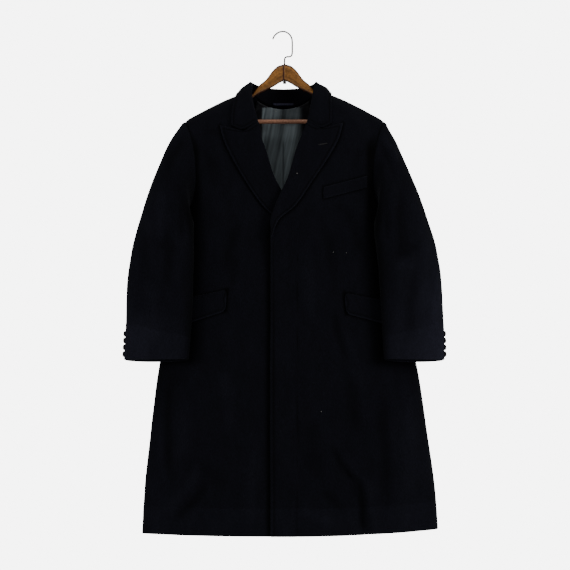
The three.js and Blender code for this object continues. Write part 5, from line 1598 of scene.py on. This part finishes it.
class COAT_OT_hanger_wood(bpy.types.Operator):
    """Both arms of the hanger, glued at the middle, and the trouser bar between them"""

    bl_idname = "coat.hanger_wood"
    bl_label = "Hanger arms and bar"

    def execute(self, context):
        colours = context.scene.coat_colours
        finish = wood("brown_hanger_wood", colours.wood_light, colours.wood_dark, 0.3)
        stations = np.concatenate([[0.06, 0.7, 1.1, 1.6, 2.4, 3.2, 4.2, 4.8, 5.4], np.linspace(7, 204, 95),
                                   205 + 16.9 * np.sin(np.linspace(0.1, 1.5, 12))])
        row = read(ARM, stations)
        end = np.sqrt(np.clip(1 - (np.maximum(stations - 205, 0) / 17.6) ** 2, 0, 1))
        end = end * np.where(stations < 2, mix(0.97, 1, (stations - 0.06) / 1.94), 1)
        a = np.linspace(0, 2 * np.pi, 40, endpoint=False)[None, :] + 0.04

        def squared(v):
            return np.sign(v) * np.abs(v) ** 0.7

        middle = ((row["top"] + row["bottom"]) / 2)[:, None]
        half = ((row["top"] - row["bottom"]) / 2 * end)[:, None]
        thick = (row["thick"] / 2 * (0.35 + 0.65 * end))[:, None]
        for suffix, side in (("over", 1), ("under", -1)):
            rings = stack(side * stations[:, None], thick * squared(np.cos(a)),
                          middle + half * squared(np.sin(a)))
            points, faces = closed_tube(rings)
            u = np.repeat(stations[:, None] * 0.001 + 0.3 * side, 40, axis=1)
            v = np.broadcast_to(half * squared(np.sin(a)) + 0.6 * thick * squared(np.cos(a)), u.shape) * 0.001
            uv = np.concatenate([np.stack([u, v], axis=-1).reshape(-1, 2), [[u[0, 0], 0], [u[-1, 0], 0]]])
            name = "hanger_arm_" + suffix
            # Darker along the arms' top and bottom faces, painted shade on the lower one; the under arm's end
            # at the joint is stained dark.
            high = np.broadcast_to(np.abs(squared(np.sin(a))), u.shape)
            edge = 0.9 * smooth((4.6 - half * (1 - high)) / 1.5)
            if side < 0:
                joint = smooth((5.2 - stations) / 0.8) * smooth((stations - 0.8) / 0.6)
                edge = np.maximum(edge, joint[:, None])
            add_mesh(name, points, faces, finish, [name], uv,
                     {"edge": np.concatenate([edge.ravel(), [0.5, 0.5]])})
        bar = wood("brown_bar_wood", colours.bar_light, colours.bar_dark, 0.42)
        x = np.concatenate([[-BAR_END, -BAR_END + 0.3], np.linspace(-BAR_END + 1, BAR_END - 1, 60),
                            [BAR_END - 0.3, BAR_END]])
        path = stack(x, 0, BAR_Z)
        size = BAR_RADIUS - 0.5 * smooth((np.abs(x) - BAR_END + 1) / 1)
        rings = tube_points(path, size, 32)
        points, faces = closed_tube(rings)
        u = np.repeat(x[:, None] * 0.001, 32, axis=1)
        v = np.broadcast_to(np.abs(np.linspace(-1, 1, 32))[None, :] * 0.017, u.shape)
        uv = np.concatenate([np.stack([u, v], axis=-1).reshape(-1, 2), [[u[0, 0], 0], [u[-1, 0], 0]]])
        add_mesh("hanger_bar", points, faces, bar, ["hanger_bar"], uv)
        return {"FINISHED"}


class COAT_OT_hanger_metal(bpy.types.Operator):
    """Wire hook with a rounded tip, and the nut that holds its stem"""

    bl_idname = "coat.hanger_metal"
    bl_label = "Hook and nut"

    def execute(self, context):
        line = np.array([(x, 0.0, z) for x, z in HOOK])
        path = catmull(line, np.linspace(0, 1, 220))
        size = np.full(len(path), WIRE)
        size[:4] = WIRE * np.array([0.3, 0.7, 0.9, 0.98])
        points, faces = closed_tube(tube_points(path, size, 20))
        add_mesh("hanger_hook", points, faces, wire_metal(), ["hanger_hook"])
        z = np.array([NUT_TOP, NUT_TOP - 0.4, NUT_TOP - 1.6, NUT_TOP - 2.0, NUT_TOP - 2.4, NUT_BOTTOM + 0.6,
                      NUT_BOTTOM])
        r = np.array([4.4, NUT_RADIUS, NUT_RADIUS, 4.5, 4.2, 4.2, 3.4])
        outside = tube_points(stack(0, 0, z), r, 24)
        inside = tube_points(stack(0, 0, z), WIRE + 0.3, 24)[::-1]
        rings = np.concatenate([outside, inside])
        faces = np.concatenate([grid_faces(len(rings), 24, wrap=True),
                                np.stack([np.arange(24) + (len(rings) - 1) * 24,
                                          (np.arange(24) + 1) % 24 + (len(rings) - 1) * 24,
                                          (np.arange(24) + 1) % 24, np.arange(24)], axis=1)])
        add_mesh("hook_nut", rings, [faces], wire_metal(), ["hook_nut"])
        return {"FINISHED"}


class COAT_OT_stitching(bpy.types.Operator):
    """Stitches along the edges, the fly and the buttons, as one mesh of small arched capsules"""

    bl_idname = "coat.stitching"
    bl_label = "Stitching"

    def execute(self, context):
        sizes, colours = context.scene.coat_sizes, context.scene.coat_colours
        points, faces = stitch_cloud(SEWN, sizes.stitch_pitch * 1000, sizes.stitch_length * 1000, 0.36)
        add_mesh("topstitching", points, faces, thread_finish("black_thread", colours.thread, 0.6))
        return {"FINISHED"}


class COAT_OT_buttonhole(bpy.types.Operator):
    """Worked buttonhole in the over lapel: two rows of thread round a slit, closed at both ends"""

    bl_idname = "coat.buttonhole"
    bl_label = "Lapel buttonhole"

    def execute(self, context):
        lapel = bpy.data.objects["fine_lapel_over"].data
        co = np.empty(len(lapel.vertices) * 3)
        lapel.vertices.foreach_get("co", co)
        co = co.reshape(-1, 3) * 1000 - (STEM_X, 0, 0)
        start, end = np.array(BUTTONHOLE)
        middle = (start + end) / 2
        near = co[np.hypot(co[:, 0] - middle[0], co[:, 2] - middle[1]) < 18]
        near = near[near[:, 1] < np.median(near[:, 1]) + 0.2]
        fit = np.linalg.lstsq(np.c_[near[:, 0], near[:, 2], np.ones(len(near))], near[:, 1], rcond=None)[0]
        a = np.linspace(0, 2 * np.pi, 90)
        long_way = unit(end - start)
        wide = unit(np.array([-(end - start)[1], (end - start)[0]]))
        reach = np.linalg.norm(end - start) / 2
        flat = middle + np.sign(np.cos(a))[:, None] * np.abs(np.cos(a))[:, None] ** 0.35 * reach * long_way
        flat = flat + np.sin(a)[:, None] * 0.55 * wide
        y = flat @ fit[:2] + fit[2] - 0.55
        path = stack(flat[:, 0], y, flat[:, 1])
        ripple = 0.42 + 0.1 * np.sin(a * 60)
        points, faces = closed_tube(tube_points(path, ripple, 8))
        grey = thread_finish("buttonhole_thread", (0.022, 0.022, 0.022), 0.7)
        add_mesh("lapel_buttonhole", points, faces, grey)
        return {"FINISHED"}


class COAT_OT_lint(bpy.types.Operator):
    """A few specks of pale lint caught on the nap, and a loose end of thread at the nape"""

    bl_idname = "coat.lint"
    bl_label = "Lint"

    def execute(self, context):
        rng = np.random.default_rng(5)
        parts = []
        for x, z, layer, height, long_way in LINT:
            middle = raised(x, z, layer, height)
            turn = rng.uniform(-0.5, 0.5)
            s = np.linspace(-1, 1, 9)[:, None]
            path = middle + s * long_way / 2 * (np.cos(turn), 0, np.sin(turn)) + (1 - s**2) * (0, -0.3, 0.5)
            parts.append(closed_tube(tube_points(path, 0.32 * (1 - 0.6 * s[:, 0] ** 2), 6)))
        points, faces = join(parts)
        pale = thread_finish("pale_lint", (0.34, 0.33, 0.31), 0.8)
        add_mesh("lint_specks", points, faces, pale)
        return {"FINISHED"}


class COAT_PT_sidebar(bpy.types.Panel):
    """Overcoat in the sidebar"""

    bl_idname = "COAT_PT_sidebar"
    bl_label = "Overcoat"
    bl_space_type = "VIEW_3D"
    bl_region_type = "UI"
    bl_category = "Overcoat"

    def draw(self, context):
        for group in (context.scene.coat_sizes, context.scene.coat_colours):
            for name in group.bl_rna.properties.keys():
                if name not in ("rna_type", "name"):
                    self.layout.prop(group, name)
        for step in STEPS:
            self.layout.operator(step.bl_idname)


STEPS = (
    COAT_OT_stage, COAT_OT_fronts, COAT_OT_backs, COAT_OT_sleeves, COAT_OT_lapels, COAT_OT_hang_loop,
    COAT_OT_collar, COAT_OT_lining, COAT_OT_pockets, COAT_OT_buttons, COAT_OT_hanger_wood,
    COAT_OT_hanger_metal, COAT_OT_stitching, COAT_OT_buttonhole, COAT_OT_lint,
)
CLASSES = (CoatSizes, CoatColours, *STEPS, COAT_PT_sidebar)


def register():
    for item in CLASSES:
        bpy.utils.register_class(item)
    bpy.types.Scene.coat_sizes = PointerProperty(type=CoatSizes)
    bpy.types.Scene.coat_colours = PointerProperty(type=CoatColours)


def unregister():
    del bpy.types.Scene.coat_colours
    del bpy.types.Scene.coat_sizes
    for item in reversed(CLASSES):
        bpy.utils.unregister_class(item)


def main():
    register()
    bpy.ops.coat.stage()
    bpy.ops.coat.fronts()
    bpy.ops.coat.backs()
    bpy.ops.coat.sleeves()
    bpy.ops.coat.lapels()
    bpy.ops.coat.hang_loop()
    bpy.ops.coat.collar()
    bpy.ops.coat.lining()
    bpy.ops.coat.pockets()
    bpy.ops.coat.buttons()
    bpy.ops.coat.hanger_wood()
    bpy.ops.coat.hanger_metal()
    bpy.ops.coat.stitching()
    bpy.ops.coat.buttonhole()
    bpy.ops.coat.lint()


if __name__ == "__main__":
    main()
